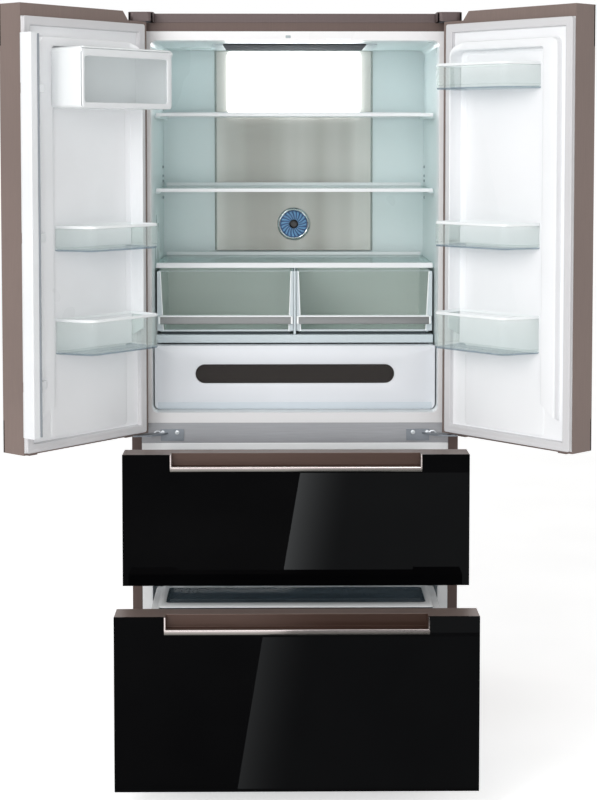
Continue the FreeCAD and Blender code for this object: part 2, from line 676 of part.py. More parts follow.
def make_crisper(label, side):
    """A clear box with a bar across its front; side is -1 for the left one."""
    body = piece(label)
    near = c.crisper_split
    far = shelf_half - c.crisper_clear + c.liner_wall / 2
    limits = sorted((side * near, side * far), key=float)
    low = c.cover_high + c.slide_gap
    box(body, limits, (c.crisper_front, crisper_rear), (low, c.crisper_top))
    corners = [(x, crisper_rear) for x in limits]
    round_edges(body, c.crisper_corner, "Z", corners)
    wall = c.crisper_wall
    inside = (c.crisper_front + c.crisper_face, crisper_rear - wall)
    hole_box(body, (limits[0] + wall, limits[1] - wall), inside, (low + wall, c.crisper_top + c.overrun))
    bar = (c.crisper_bar_low, c.crisper_bar_low + c.crisper_bar_tall)
    front = c.crisper_front - c.crisper_bar_out
    # The bar's rear is hollowed from below for the fingers
    outline = [
        (front, bar[0]), (front + wall, bar[0]), (front + wall, bar[1] - wall),
        (c.crisper_front, bar[1] - wall), (c.crisper_front, bar[1]), (front, bar[1]),
    ]
    extrude(body, "YZ", outline, limits[0], limits[1])


def add_window(body, y, cut=False):
    """The wide drawer's round-ended window, as a solid or as the opening for it."""
    radius = c.window_tall / 2
    straight = c.window_half - radius
    box(body, spread(straight), y, (c.window_low, c.window_low + c.window_tall), cut)
    for side in (-1, 1):
        cylinder(body, (side * straight, y[0], c.window_low + radius), radius, y[1] - y[0], "Y", cut)


def make_chiller_drawer():
    body = piece("chiller_drawer")
    half = cavity_half - c.chiller_clear
    low = fridge_floor + c.slide_gap
    face = (c.chiller_front, c.chiller_front + c.chiller_face)
    box(body, spread(half), face, (low, c.chiller_top))
    corners = [(side * half, low) for side in (-1, 1)]
    round_edges(body, c.chiller_corner, "Y", corners)
    tray_half = cavity_half - c.chiller_tray_clear
    wall = c.chiller_wall
    box(body, spread(tray_half), (face[1], chiller_rear), (low, c.chiller_tray_top))
    inside = (face[1], chiller_rear - wall)
    hole_box(body, spread(tray_half - wall), inside, (low + wall, c.chiller_top + c.overrun))
    add_window(body, (face[0] - c.overrun, face[1] + c.overrun), cut=True)


def make_chiller_window():
    body = piece("chiller_window")
    front = c.chiller_front + (c.chiller_face - c.window_thick) / 2
    add_window(body, (front, front + c.window_thick))


# Doors, drawn for side -1 (left) and 1 (right) about the hinge axis


def door_place(side):
    if side < 0:
        return (-hinge_x, hinge_y, -c.left_door_open)
    return (hinge_x, hinge_y, c.right_door_open)


def along(side, u):
    """X limits for a pair of limits given from the hinge towards the free edge."""
    if side < 0:
        return u
    return (-u[1], -u[0])


def across_points(side, points):
    """Outline points given as (u, other), as X for this door, kept in the same turning direction."""
    if side < 0:
        return points
    return [(-u, other) for u, other in reversed(points)]


def cut_top_notch(body, side):
    """Take the corner over the hinge away, for the hinge arm and its cap."""
    high = c.door_high + c.overrun
    slope = c.notch_chamfer * (high - c.notch_floor) / (c.door_high - c.notch_floor)
    points = [
        (u_hinge - c.overrun, c.notch_floor), (c.notch_reach, c.notch_floor),
        (c.notch_reach + slope, high), (u_hinge - c.overrun, high),
    ]
    extrude(body, "XZ", across_points(side, points), v_outer - c.overrun, v_front, cut=True)


def make_door_frame(side, name):
    """Metal casing: walls all round, a lip round the inner side, and blocks about the recesses."""
    body = piece(f"{name}_frame", door_place(side))
    v = (v_casing, v_inner)
    wall = c.casing_wall
    box(body, along(side, (u_hinge, u_free)), v, (c.door_low, c.door_high))
    inner_u = (u_hinge + wall, u_free - wall)
    inner_z = (c.door_low + wall, c.door_high - wall)
    hole_box(body, along(side, inner_u), (v[0] - c.overrun, v[1] - c.lip_thick), inner_z)
    lip_u = (door_seal_hinge, door_seal_free)
    lip_z = (door_seal_low, door_seal_high)
    hole_box(body, along(side, lip_u), (v[0], v[1] + c.overrun), lip_z)
    # Walls of the notch over the hinge
    block = (u_hinge, c.notch_reach + c.notch_chamfer + wall * 2)
    box(body, along(side, block), v, (c.notch_floor - wall, c.door_high))
    cut_top_notch(body, side)
    # Walls of the grip recess along the free edge
    deep = v_outer + c.grip_deep
    recess_u = (u_free - c.grip_wide, u_free)
    recess_z = (c.grip_low - wall, c.grip_high + wall)
    box(body, along(side, (recess_u[0] - wall, recess_u[1])), (v[0], deep + wall), recess_z)
    cut_u = (recess_u[0], u_free - c.grip_edge)
    hole_box(body, along(side, cut_u), (v_outer, deep), (c.grip_low, c.grip_high))
    edge = (cut_u[1], u_free)
    box(body, along(side, edge), (v_outer, deep), (c.grip_low, c.grip_high))
    # Hinge bushes at both ends, and the stops under the door
    for low in (c.door_low, c.notch_floor - c.pin_deep - wall):
        cylinder(body, (0, 0, low), c.pin_boss, c.pin_deep + wall)
    stop = c.stop_reach
    for place in (c.stop_at, c.end_stop_at):
        level = (c.door_low - c.stop_tall, c.door_low + wall)
        box(body, along(side, (place - stop, place + stop / 2)), spread(stop), level)
    bore = c.hinge_pin + c.pin_clearance
    cylinder(body, (0, 0, c.door_low - c.overrun), bore, c.pin_deep + c.overrun, cut=True)
    top = c.notch_floor - c.pin_deep
    cylinder(body, (0, 0, top), bore, c.pin_deep + c.overrun, cut=True)


def make_door_foam(side, name):
    body = piece(f"{name}_foam", door_place(side))
    wall = c.casing_wall
    v = (v_casing, v_inner - c.lip_thick)
    low, high = c.door_low + wall, c.door_high - wall
    box(body, along(side, (u_hinge + wall, u_free - wall)), v, (low, high))
    block = (u_hinge, c.notch_reach + c.notch_chamfer + wall * 2)
    notch = (c.notch_floor - wall, high + wall)
    hole_box(body, along(side, block), (v[0] - c.overrun, v[1] + c.overrun), notch)
    grip = (u_free - c.grip_wide - wall, u_free)
    deep = v_outer + c.grip_deep + wall
    hole_box(body, along(side, grip), (v[0] - c.overrun, deep), (c.grip_low - wall, c.grip_high + wall))
    for low_end in (c.door_low, c.notch_floor - c.pin_deep - wall):
        cylinder(body, (0, 0, low_end), c.pin_boss, c.pin_deep + wall, cut=True)


def make_door_glass(side, name):
    body = piece(f"{name}_glass", door_place(side))
    v = (v_outer, v_casing)
    box(body, along(side, (u_hinge, u_free)), v, (c.door_low, c.door_high))
    grip = (u_free - c.grip_wide, u_free + c.overrun)
    hole_box(body, along(side, grip), (v[0] - c.overrun, v[1] + c.overrun), (c.grip_low, c.grip_high))
    doc.recompute()
    cut_top_notch(body, side)


def ridge_outline():
    """The raised ridge as one outline: up its free side, over to the hinge side and back inside."""
    under = c.ridge_top - c.ridge_band
    return [
        (c.ridge_far, c.ridge_low), (c.ridge_far, c.ridge_top),
        (c.ridge_hinge + c.ridge_turn, c.ridge_top),
        (c.ridge_hinge, c.ridge_top - c.ridge_drop), (c.ridge_hinge, under),
        (c.ridge_near, under), (c.ridge_near, c.ridge_low + c.ridge_slant),
    ]


def ridge_wall_outline():
    """The deeper wall down the hinge side, seen from that side; shut, it stands inside the cavity."""
    top = c.ridge_top - c.ridge_drop
    root = v_inner - c.lip_thick / 2
    crest = v_inner + c.ridge_deep
    slant = c.ridge_deep / 2
    return [
        (root, c.ridge_end), (v_inner, c.ridge_end), (crest, c.ridge_end + slant),
        (crest, top - c.ridge_drop), (crest - slant, top), (root, top),
    ]


def make_door_liner(side, name):
    """White inner skin with its raised ridge; the left one also has the arms that hold the flap."""
    body = piece(f"{name}_liner", door_place(side))
    v = (v_inner - c.lip_thick, v_inner)
    plate = (door_seal_hinge, door_seal_free)
    box(body, along(side, plate), v, (door_seal_low, door_seal_high))
    points = list(reversed(ridge_outline()))
    crest = v_inner + c.ridge_rise
    extrude(body, "XZ", across_points(side, points), v_inner - c.lip_thick / 2, crest)
    corners = [(-side * u, crest) for u in (c.ridge_near, c.ridge_far)]
    round_edges(body, c.ridge_round, "Z", corners)
    wall = along(side, (c.ridge_hinge, c.ridge_hinge + c.ridge_wall))
    extrude(body, "YZ", ridge_wall_outline(), wall[0], wall[1])
    if side > 0:
        return
    pivot_v = v_front + c.seal_gap + c.flap_pivot_depth
    half = c.arm_thick / 2
    for step in (-1, 0, 1):
        middle = c.knuckle_mid + c.knuckle_step * step
        tall = (middle - c.knuckle_tall / 2, middle + c.knuckle_tall / 2)
        root = c.ridge_far - c.ridge_round - c.arm_thick
        outline = [
            (root, v_inner), (root + c.arm_thick, v_inner), (c.flap_pivot, pivot_v - half),
            (c.flap_pivot, pivot_v + half), (root, pivot_v + half),
        ]
        extrude(body, "XY", outline, tall[0], tall[1])
        cylinder(body, (c.flap_pivot, pivot_v, tall[0]), half, c.knuckle_tall)
        bore = c.flap_pin + c.pin_clearance
        start = tall[0] - c.overrun
        cylinder(body, (c.flap_pivot, pivot_v, start), bore, c.knuckle_tall + c.overrun * 2, cut=True)


def make_door_gasket(side, name):
    body = piece(f"{name}_gasket", door_place(side))
    v = (v_inner, v_inner + c.gasket_thick)
    outer_u = (door_seal_hinge, door_seal_free)
    box(body, along(side, outer_u), v, (door_seal_low, door_seal_high))
    wide = c.gasket_wide
    inner_u = (outer_u[0] + wide, outer_u[1] - wide)
    inner_z = (door_seal_low + wide, door_seal_high - wide)
    hole_box(body, along(side, inner_u), (v[0] - c.overrun, v[1] + c.overrun), inner_z)


def add_bin(body, side, low, tall):
    """One clear bin: tapered in plan, open on top, with a thicker rim."""
    base = v_inner
    reach = v_inner + c.bin_reach
    near = c.bin_hinge
    far = c.bin_far
    wall = c.bin_wall
    slope = c.bin_slant / c.bin_reach

    def plan(inset, rear):
        return [
            (near + inset, rear), (far - inset - slope * (rear - base), rear),
            (far - c.bin_slant - inset, reach - inset), (near + c.bin_taper + inset, reach - inset),
        ]

    high = low + tall
    extrude(body, "XY", across_points(side, plan(0, base)), low, high)
    first = near + c.bin_taper
    last = far - c.bin_slant
    places = [(-side * first, reach), (-side * last, reach)]
    round_edges(body, c.bin_corner, "Z", places, (low, high))
    extrude(body, "XY", across_points(side, plan(wall, base + wall)), low + c.bin_floor, high, cut=True)


def make_door_bins(side, name, bins):
    body = piece(f"{name}_bins", door_place(side))
    for low, tall in bins:
        add_bin(body, side, low, tall)


def make_dairy_box():
    """White box on the left door, open to the room side, with the ears that hold its cover."""
    side = -1
    body = piece("dairy_box", door_place(side))
    low, high = c.dairy_low, c.dairy_low + c.dairy_tall
    crest = v_inner + c.ridge_rise
    reach = v_inner + c.dairy_reach
    u = (c.dairy_hinge, c.dairy_far)
    box(body, u, (crest, reach), (low, high))
    back = (c.dairy_hinge, c.ridge_near - c.dairy_wall)
    box(body, back, (v_inner, crest), (low, high))
    wall = c.dairy_wall
    inner_z = (low + wall, high - wall)
    hole_box(body, (u[0] + wall, u[1] - wall), (crest + wall, reach + c.overrun), inner_z)
    hole_box(body, (back[0] + wall, back[1] - wall), (v_inner + wall, reach), inner_z)
    # Two ears in front of the top edge take the cover's pins
    pin_v = reach + c.dairy_gap + c.dairy_cover_thick / 2
    pin_z = high - c.dairy_drop
    for ear in ((u[0], u[0] + wall), (u[1] - wall, u[1])):
        box(body, ear, (reach, pin_v + wall), (pin_z - wall * 2, high))
        hole_start = (ear[0] - c.overrun, pin_v, pin_z)
        bore = c.dairy_pin / 2 + c.pin_clearance
        cylinder(body, hole_start, bore, wall + c.overrun * 2, "X", cut=True)


def make_dairy_cover():
    """Flip-up cover: a frame round a thin pane, with a pin at each end of its top edge."""
    body = piece("dairy_cover", door_place(-1))
    low, high = c.dairy_low, c.dairy_low + c.dairy_tall
    reach = v_inner + c.dairy_reach
    v = (reach + c.dairy_gap, reach + c.dairy_gap + c.dairy_cover_thick)
    ends = c.dairy_wall + c.dairy_gap
    u = (c.dairy_hinge + ends, c.dairy_far - ends)
    pin_z = high - c.dairy_drop
    pin_v = (v[0] + v[1]) / 2
    top = pin_z + c.dairy_cover_thick / 2
    box(body, u, v, (low, pin_z))
    cylinder(body, (u[0], pin_v, pin_z), c.dairy_cover_thick / 2, u[1] - u[0], "X")
    frame = c.dairy_frame
    pane = (low + frame, top - frame)
    hole_box(body, (u[0] + frame, u[1] - frame), (v[0] - c.overrun, v[1] - c.dairy_pane), pane)
    pin = c.dairy_pin / 2
    pin_start = c.dairy_hinge + c.dairy_gap
    length = c.dairy_far - c.dairy_hinge - c.dairy_gap * 2
    cylinder(body, (pin_start, pin_v, pin_z), pin, length, "X")


def make_mullion_flap():
    """Upright flap that closes the gap between the doors, drawn shut and folded by its placement."""
    label = "mullion_flap"
    body = doc.addObject("PartDesign::Body", label)
    body.Label = label
    body.AllowCompound = True
    pieces[label] = body
    # Drawn about the flap's own pivot: X towards the other door, Y into the fridge
    depth = (-c.flap_pivot_depth, c.flap_thick - c.flap_pivot_depth)
    wide = (-c.flap_near, c.flap_wide - c.flap_near)
    # The near edge is cut to a curve about the pivot, so that it passes the door's seal as it folds
    sweep = c.flap_sweep
    steps = [math.radians(angle) for angle in (45, 66)]
    curve = [(-sweep * math.cos(step), -sweep * math.sin(step)) for step in steps]
    near = [(wide[0], depth[1]), (wide[0], wide[0] * math.tan(math.radians(20)))]
    far = [(-depth[0] * math.tan(math.radians(-10)), depth[0]), (wide[1], depth[0]), (wide[1], depth[1])]
    extrude(body, "XY", near + curve + far, c.flap_low, c.flap_high)
    corners = [(wide[1], depth[1]), (wide[1], depth[0])]
    round_edges(body, c.lip_thick, "Z", corners)
    for step in (-1, 0, 1):
        middle = c.knuckle_mid + c.knuckle_step * step
        half = c.knuckle_tall / 2 + c.knuckle_gap
        boss = c.knuckle_tall
        start = middle - half - boss
        cylinder(body, (0, 0, start), c.flap_boss, (half + boss) * 2)
        clear = c.arm_thick / 2 + c.knuckle_gap
        notch_x = (wide[0] - c.overrun, clear)
        notch_y = (depth[0] + c.flap_skin, c.flap_boss + c.overrun)
        hole_box(body, notch_x, notch_y, (middle - half, middle + half))
        cylinder(body, (0, 0, start), c.flap_pin, (half + boss) * 2)
    # Folded: turned a quarter turn about its pivot, then carried round with the door
    pivot = (c.flap_pivot, v_front + c.seal_gap + c.flap_pivot_depth)
    local = f"create(<<vector>>; {text_of(pivot[0])}; {text_of(pivot[1])}; 0)"
    upright = "create(<<vector>>; 0; 0; 1)"
    folded = f"create(<<placement>>; {local}; create(<<rotation>>; {upright}; 90))"
    hinge = f"create(<<vector>>; {text_of(-hinge_x)}; {text_of(hinge_y + frame_shift)}; 0)"
    opened = f"create(<<rotation>>; {upright}; {text_of(-c.left_door_open)})"
    body.setExpression("Placement", f"create(<<placement>>; {hinge}; {opened}) * {folded}")


# Freezer drawers


def drawer_place(out):
    return (0, -out, 0)


def make_drawer_frame(name, low, high, out):
    """Metal pan of a drawer front, with the recess for the pull let into its top edge."""
    body = piece(f"{name}_frame", drawer_place(out))
    y = (front_face + c.glass_thick, front_back)
    wall = c.casing_wall
    box(body, spread(half_width), y, (low, high))
    inner = (y[0] - c.overrun, y[1] - c.lip_thick)
    hole_box(body, spread(half_width - wall), inner, (low + wall, high - wall))
    end = c.pull_half + c.pull_end
    floor = high - c.pull_drop
    rear = front_face + c.pull_deep
    box(body, spread(end + wall), (y[0], rear + wall), (floor - c.pull_lip - wall, high))
    hole_box(body, spread(c.pull_half), (front_face, rear), (floor, high + c.overrun))


def make_drawer_foam(name, low, high, out):
    body = piece(f"{name}_foam", drawer_place(out))
    y = (front_face + c.glass_thick, front_back - c.lip_thick)
    wall = c.casing_wall
    box(body, spread(half_width - wall), y, (low + wall, high - wall))
    end = c.pull_half + c.pull_end + wall
    rear = front_face + c.pull_deep + wall
    floor = high - c.pull_drop - c.pull_lip - wall
    hole_box(body, spread(end), (y[0] - c.overrun, rear), (floor, high + c.overrun))


def make_drawer_glass(name, low, high, out):
    body = piece(f"{name}_glass", drawer_place(out))
    y = (front_face, front_face + c.glass_thick)
    box(body, spread(half_width), y, (low, high))
    end = c.pull_half + c.pull_end
    floor = high - c.pull_drop - c.pull_lip
    hole_box(body, spread(end), (y[0] - c.overrun, y[1] + c.overrun), (floor, high + c.overrun))


def make_drawer_pull(name, high, out):
    """Bright trim round the recess: a lip below it and a thin post at each end."""
    body = piece(f"{name}_pull", drawer_place(out))
    y = (front_face - c.pull_proud, front_face + c.glass_thick)
    end = c.pull_half + c.pull_end
    floor = high - c.pull_drop
    box(body, spread(end), y, (floor - c.pull_lip, high))
    hole_box(body, spread(c.pull_half), (y[0] - c.overrun, y[1] + c.overrun), (floor, high + c.overrun))
    corners = [(front_face - c.pull_proud, level) for level in (floor - c.pull_lip, floor)]
    round_edges(body, c.pull_proud, "X", corners)


def make_drawer_gasket(name, low, high, out):
    body = piece(f"{name}_gasket", drawer_place(out))
    y = (front_back, front_back + c.gasket_thick)
    half = half_width - c.hinge_band
    z = (low + c.drawer_seal, high - c.drawer_seal_top)
    box(body, spread(half), y, z)
    wide = c.gasket_wide
    inner = (y[0] - c.overrun, y[1] + c.overrun)
    hole_box(body, spread(half - wide), inner, (z[0] + wide, z[1] - wide))


def make_basket(name, low, high, rear, rail_at, out):
    """Basket that hangs by its shoulders on the slides' ledges."""
    body = piece(f"{name}_basket", drawer_place(out))
    shoulder = rail_at + rail_half(2)
    deep = (c.basket_front, rear)
    wall = c.basket_wall
    box(body, spread(c.basket_half), deep, (low, shoulder + wall))
    box(body, spread(c.basket_shoulder), deep, (shoulder, high))
    inner = (deep[0] + wall, deep[1] - wall)
    hole_box(body, spread(c.basket_half - wall), inner, (low + wall, high))
    hole_box(body, spread(c.basket_shoulder - wall), inner, (shoulder + wall, high + c.overrun))
    round_edges(body, c.crisper_corner, "X", [(y, low) for y in deep])


def rail_half(stage):
    """Half height of a slide member: 0 is the outer one, 2 the inner one."""
    step = c.rail_wall + c.rail_gap
    return c.rail_tall / 2 - step * stage


def rail_profile(stage, side):
    """Outline of one C-shaped slide member in (x, z) about its centre line."""
    wall = c.rail_wall
    gap = c.rail_gap
    tall = rail_half(stage)
    outer_web = cavity_half
    if stage == 0:
        web = (outer_web - wall, outer_web)
        tip = outer_web - c.rail_deep
    elif stage == 1:
        web = (outer_web - wall * 2 - gap, outer_web - wall - gap)
        tip = outer_web - c.rail_deep + gap * 3
    else:
        web = (outer_web - c.rail_deep - gap * 3, outer_web - c.rail_deep - gap * 3 + wall)
        tip = outer_web - wall * 2 - gap * 2
    if stage < 2:
        points = [
            (tip, -tall), (web[1], -tall), (web[1], tall), (tip, tall),
            (tip, tall - wall), (web[0], tall - wall), (web[0], -tall + wall), (tip, -tall + wall),
        ]
    else:
        points = [
            (web[0], -tall), (tip, -tall), (tip, -tall + wall), (web[1], -tall + wall),
            (web[1], tall - wall), (tip, tall - wall), (tip, tall), (web[0], tall),
        ]
    if side > 0:
        return points
    return [(-x, z) for x, z in reversed(points)]


def add_rails(body, stage, level, y):
    for side in (-1, 1):
        points = [(x, z + level) for x, z in rail_profile(stage, side)]
        extrude(body, "XZ", points, y[0], y[1])


def rail_span():
    return (c.rail_front, rail_rear)


def make_fixed_rails():
    body = piece("fixed_rails")
    for level in (c.upper_rail_at, c.lower_rail_at):
        add_rails(body, 0, level, rail_span())


def make_middle_rails(name, level, out):
    body = piece(f"{name}_middle_rails", drawer_place(out / 2))
    add_rails(body, 1, level, rail_span())


def make_drawer_rails(name, level, out):
    """Inner slide members, the ledge that the basket hangs on, and the plate at the drawer front."""
    body = piece(f"{name}_rails", drawer_place(out))
    y = (front_back, rail_span()[1])
    add_rails(body, 2, level, y)
    tall = rail_half(2)
    web = cavity_half - c.rail_deep - c.rail_gap * 3
    ledge_z = (level + tall - c.rail_wall, level + tall)
    ledges = [box(body, (c.ledge_inner, web + c.rail_wall / 2), (c.basket_front, y[1]), ledge_z)]
    ends = (level - c.bracket_tall, level + tall - c.rail_wall)
    plate = (front_back, front_back + c.rail_wall)
    ledges.append(box(body, (c.ledge_inner, web + c.rail_wall), plate, ends))
    mirror_across(body, ledges, "YZ_Plane")


# Hinges and top covers


def make_door_hinges():
    """Two top plates with a pin that hangs into the door, and two middle arms with a pin that stands."""
    body = piece("door_hinges")
    pin = c.hinge_pin
    for side in (-1, 1):
        x = side * hinge_x
        low = c.cabinet_top
        high = low + c.top_plate
        inner = side * c.top_plate_inner
        outer = side * (hinge_x + c.arm_round)
        plan = [(inner, 0), (outer, 0), (outer, c.top_plate_rear), (inner, c.top_plate_rear)]
        arm = [(side * (hinge_x - c.arm_round), hinge_y), (outer, hinge_y), (outer, 0), (inner, 0)]
        if side < 0:
            plan.reverse()
            arm.reverse()
        extrude(body, "XY", plan, low, high)
        extrude(body, "XY", arm, low, high)
        cylinder(body, (x, hinge_y, low), c.arm_round, c.top_plate)
        reach = c.pin_deep - c.slide_gap * 2
        cylinder(body, (x, hinge_y, c.notch_floor - reach), pin, high - c.notch_floor + reach)
        # Middle arm: a plate on the beam, and a flat arm that bends out to the pin
        limits = sorted((side * c.bracket_inner, side * c.bracket_outer), key=float)
        box(body, limits, (-c.bracket_plate, 0), (c.bracket_low, c.bracket_high))
        level = (c.arm_low, c.arm_low + c.arm_plate)
        root = c.bracket_outer
        bend = (hinge_x - root) / 3
        arm = [
            (side * (root - c.arm_round * 2), -c.bracket_plate / 2), (side * root, -c.bracket_plate / 2),
            (side * (root + bend), hinge_y / 2 + c.bracket_plate), (side * hinge_x, hinge_y + c.arm_round),
            (side * hinge_x, hinge_y - c.arm_round), (side * (root + bend), hinge_y - c.bracket_plate),
            (side * (root - c.arm_round), hinge_y / 2),
        ]
        if side > 0:
            arm.reverse()
        extrude(body, "XY", arm, level[0], level[1])
        cylinder(body, (x, hinge_y, level[0]), c.arm_round, c.arm_plate)
        collar_top = c.door_low - c.slide_gap
        cylinder(body, (x, hinge_y, level[1]), c.collar_radius, collar_top - level[1])
        cylinder(body, (x, hinge_y, level[1]), pin, c.door_low + reach - level[1])
        middle = (c.bracket_low + c.bracket_high) / 2 + c.hinge_screw
        for place in (c.screw_inner, c.screw_outer):
            start = (side * place, -c.bracket_plate - c.screw_head, middle)
            cylinder(body, start, c.hinge_screw, c.screw_head, "Y")


def make_top_covers():
    """A cap over each top hinge and the trim strip between them."""
    body = piece("top_covers")
    for side in (-1, 1):
        limits = sorted((side * c.cover_end, side * half_width), key=float)
        deep = (-c.cap_front, c.cap_rear)
        box(body, limits, deep, (c.cabinet_top, cap_top))
    doc.recompute()
    corners = [(side * end, -c.cap_front) for side in (-1, 1) for end in (c.cover_end, half_width)]
    round_edges(body, c.hinge_inset, "Z", corners)
    wall = c.cap_wall
    for side in (-1, 1):
        inner = sorted((side * (c.cover_end + wall), side * (half_width - wall)), key=float)
        level = (c.cabinet_top - c.overrun, cap_top - wall)
        hole_box(body, inner, (-c.cap_front + wall, c.cap_rear - wall), level)
    end = c.cover_end - c.trim_join
    top = cap_top - c.trim_join
    outline = [
        (0, c.cabinet_top), (c.trim_rear, c.cabinet_top), (c.trim_rear - c.top_flange / 2, top), (0, top),
    ]
    extrude(body, "YZ", outline, -end, end)


def build():
    make_outer_cabinet()
    make_cabinet_foam()
    make_fridge_liner()
    make_freezer_liner()
    make_cross_rails()
    make_rear_panels()
    make_base_pan()
    make_levelling_feet()
    make_compressor()
    make_drain_pan()
    make_freezer_duct_cover()
    make_evaporator()
    make_evaporator_fan()
    make_duct_panel()
    make_light_panel()
    make_air_filter()
    make_ceiling_vent()
    make_shelf("top_shelf", c.top_shelf_at)
    make_shelf("middle_shelf", c.middle_shelf_at)
    make_shelf("crisper_shelf", c.crisper_shelf_at)
    make_shelf_trims()
    make_drawer_cover()
    make_crisper("left_crisper", -1)
    make_crisper("right_crisper", 1)
    make_chiller_drawer()
    make_chiller_window()
    make_door_hinges()
    make_top_covers()
    for side, name in ((-1, "left_door"), (1, "right_door")):
        make_door_frame(side, name)
        make_door_foam(side, name)
        make_door_glass(side, name)
        make_door_liner(side, name)
        make_door_gasket(side, name)
    left_bins = [(c.left_middle_bin, c.left_middle_tall), (c.left_lower_bin, c.left_lower_tall)]
    right_bins = [
        (c.right_upper_bin, c.right_upper_tall), (c.right_middle_bin, c.right_middle_tall),
        (c.right_lower_bin, c.right_lower_tall),
    ]
    make_door_bins(-1, "left_door", left_bins)
    make_door_bins(1, "right_door", right_bins)
    make_dairy_box()
    make_dairy_cover()
    make_mullion_flap()
    make_fixed_rails()
    drawers = [
        ("upper_drawer", c.upper_low, c.upper_high, c.upper_out, c.upper_rail_at,
         (c.upper_basket_low, c.upper_basket_high, upper_basket_rear)),
        ("lower_drawer", c.lower_low, c.lower_high, c.lower_out, c.lower_rail_at,
         (c.lower_basket_low, c.lower_basket_high, lower_basket_rear)),
    ]
    for name, low, high, out, rail_at, basket in drawers:
        make_drawer_frame(name, low, high, out)
        make_drawer_foam(name, low, high, out)
        make_drawer_glass(name, low, high, out)
        make_drawer_pull(name, high, out)
        make_drawer_gasket(name, low, high, out)
        make_basket(name, basket[0], basket[1], basket[2], rail_at, out)
        make_drawer_rails(name, rail_at, out)
        make_middle_rails(name, rail_at, out)


def check_and_export():
    """Stop if any object failed, then write each sub-part."""
    doc.recompute()
    failed = [item.Name for item in doc.Objects if "Invalid" in item.State or "Error" in item.State]
    if failed:
        raise ValueError(f"objects that failed: {failed}")
    bad = [name for name, body in pieces.items() if body.Shape.isNull() or not body.Shape.isValid()]
    if bad:
        raise ValueError(f"shapes that are not valid: {bad}")
    os.makedirs("parts", exist_ok=True)
    for name, body in pieces.items():
        body.Shape.exportStep(f"parts/{name}.step")
    print(f"{len(pieces)} sub-parts written")


build()
check_and_export()
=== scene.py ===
"""Looks of the four-door refrigerator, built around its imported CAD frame."""

import json
import math

import bmesh
import bpy
from mathutils import Matrix, Vector


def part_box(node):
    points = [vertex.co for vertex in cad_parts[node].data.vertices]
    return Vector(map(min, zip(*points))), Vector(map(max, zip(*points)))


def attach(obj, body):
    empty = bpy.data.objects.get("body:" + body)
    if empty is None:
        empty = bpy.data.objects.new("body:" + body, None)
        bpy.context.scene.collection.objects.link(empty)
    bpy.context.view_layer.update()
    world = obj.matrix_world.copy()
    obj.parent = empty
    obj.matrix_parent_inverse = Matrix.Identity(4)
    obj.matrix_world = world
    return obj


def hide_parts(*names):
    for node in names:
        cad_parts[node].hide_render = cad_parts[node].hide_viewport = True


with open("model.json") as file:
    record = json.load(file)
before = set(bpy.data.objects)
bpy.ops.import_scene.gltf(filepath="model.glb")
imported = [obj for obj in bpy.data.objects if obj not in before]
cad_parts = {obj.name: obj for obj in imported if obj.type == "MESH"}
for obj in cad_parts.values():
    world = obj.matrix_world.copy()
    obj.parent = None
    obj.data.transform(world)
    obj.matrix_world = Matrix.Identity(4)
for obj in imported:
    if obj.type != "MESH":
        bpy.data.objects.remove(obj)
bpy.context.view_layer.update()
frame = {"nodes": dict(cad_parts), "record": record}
nodes = frame["nodes"]
scene = bpy.context.scene

# Places, in cabinet millimetres: x to the right, y to the back from the cabinet's front edge, z up

MM = 0.001
SHIFT_Y = -45.0  # the cabinet's front edge in the row frame
HINGE_X = 404.0
HINGE_Y = -42.0
LEFT_OPEN = -130.0  # how far the doors stand open at rest, in degrees
RIGHT_OPEN = 132.0
UPPER_OUT = 196.0  # how far the drawers are pulled out at rest
LOWER_OUT = 426.0


def cab(x, y, z):
    """Cabinet millimetres to the row frame in metres."""
    return Vector((x, y + SHIFT_Y, z)) * MM


def door_matrix(side):
    """From a door's own millimetres (u from the hinge, v into the fridge, z) to the row frame."""
    turn = math.radians(LEFT_OPEN if side < 0 else RIGHT_OPEN)
    hinge = Matrix.Translation(cab(side * HINGE_X, HINGE_Y, 0))
    flip = Matrix.Diagonal((1 if side < 0 else -1, 1, 1, 1))
    return hinge @ Matrix.Rotation(turn, 4, "Z") @ Matrix.Scale(MM, 4) @ flip


def drawer_matrix(out):
    return Matrix.Translation(cab(0, -out, 0)) @ Matrix.Scale(MM, 4)


CABINET = Matrix.Translation(cab(0, 0, 0)) @ Matrix.Scale(MM, 4)
LEFT = door_matrix(-1)
DOORS = {-1: ("left_door", LEFT), 1: ("right_door", door_matrix(1))}
UPPER = drawer_matrix(UPPER_OUT)
LOWER = drawer_matrix(LOWER_OUT)


# Colours and materials; colours are written as they show, from 0 to 255


def linear(red, green, blue):
    """A display colour given in 0 to 255 as linear RGBA."""
    out = []
    for value in (red, green, blue):
        v = value / 255.0
        out.append(v / 12.92 if v <= 0.04045 else ((v + 0.055) / 1.055) ** 2.4)
    return (*out, 1.0)


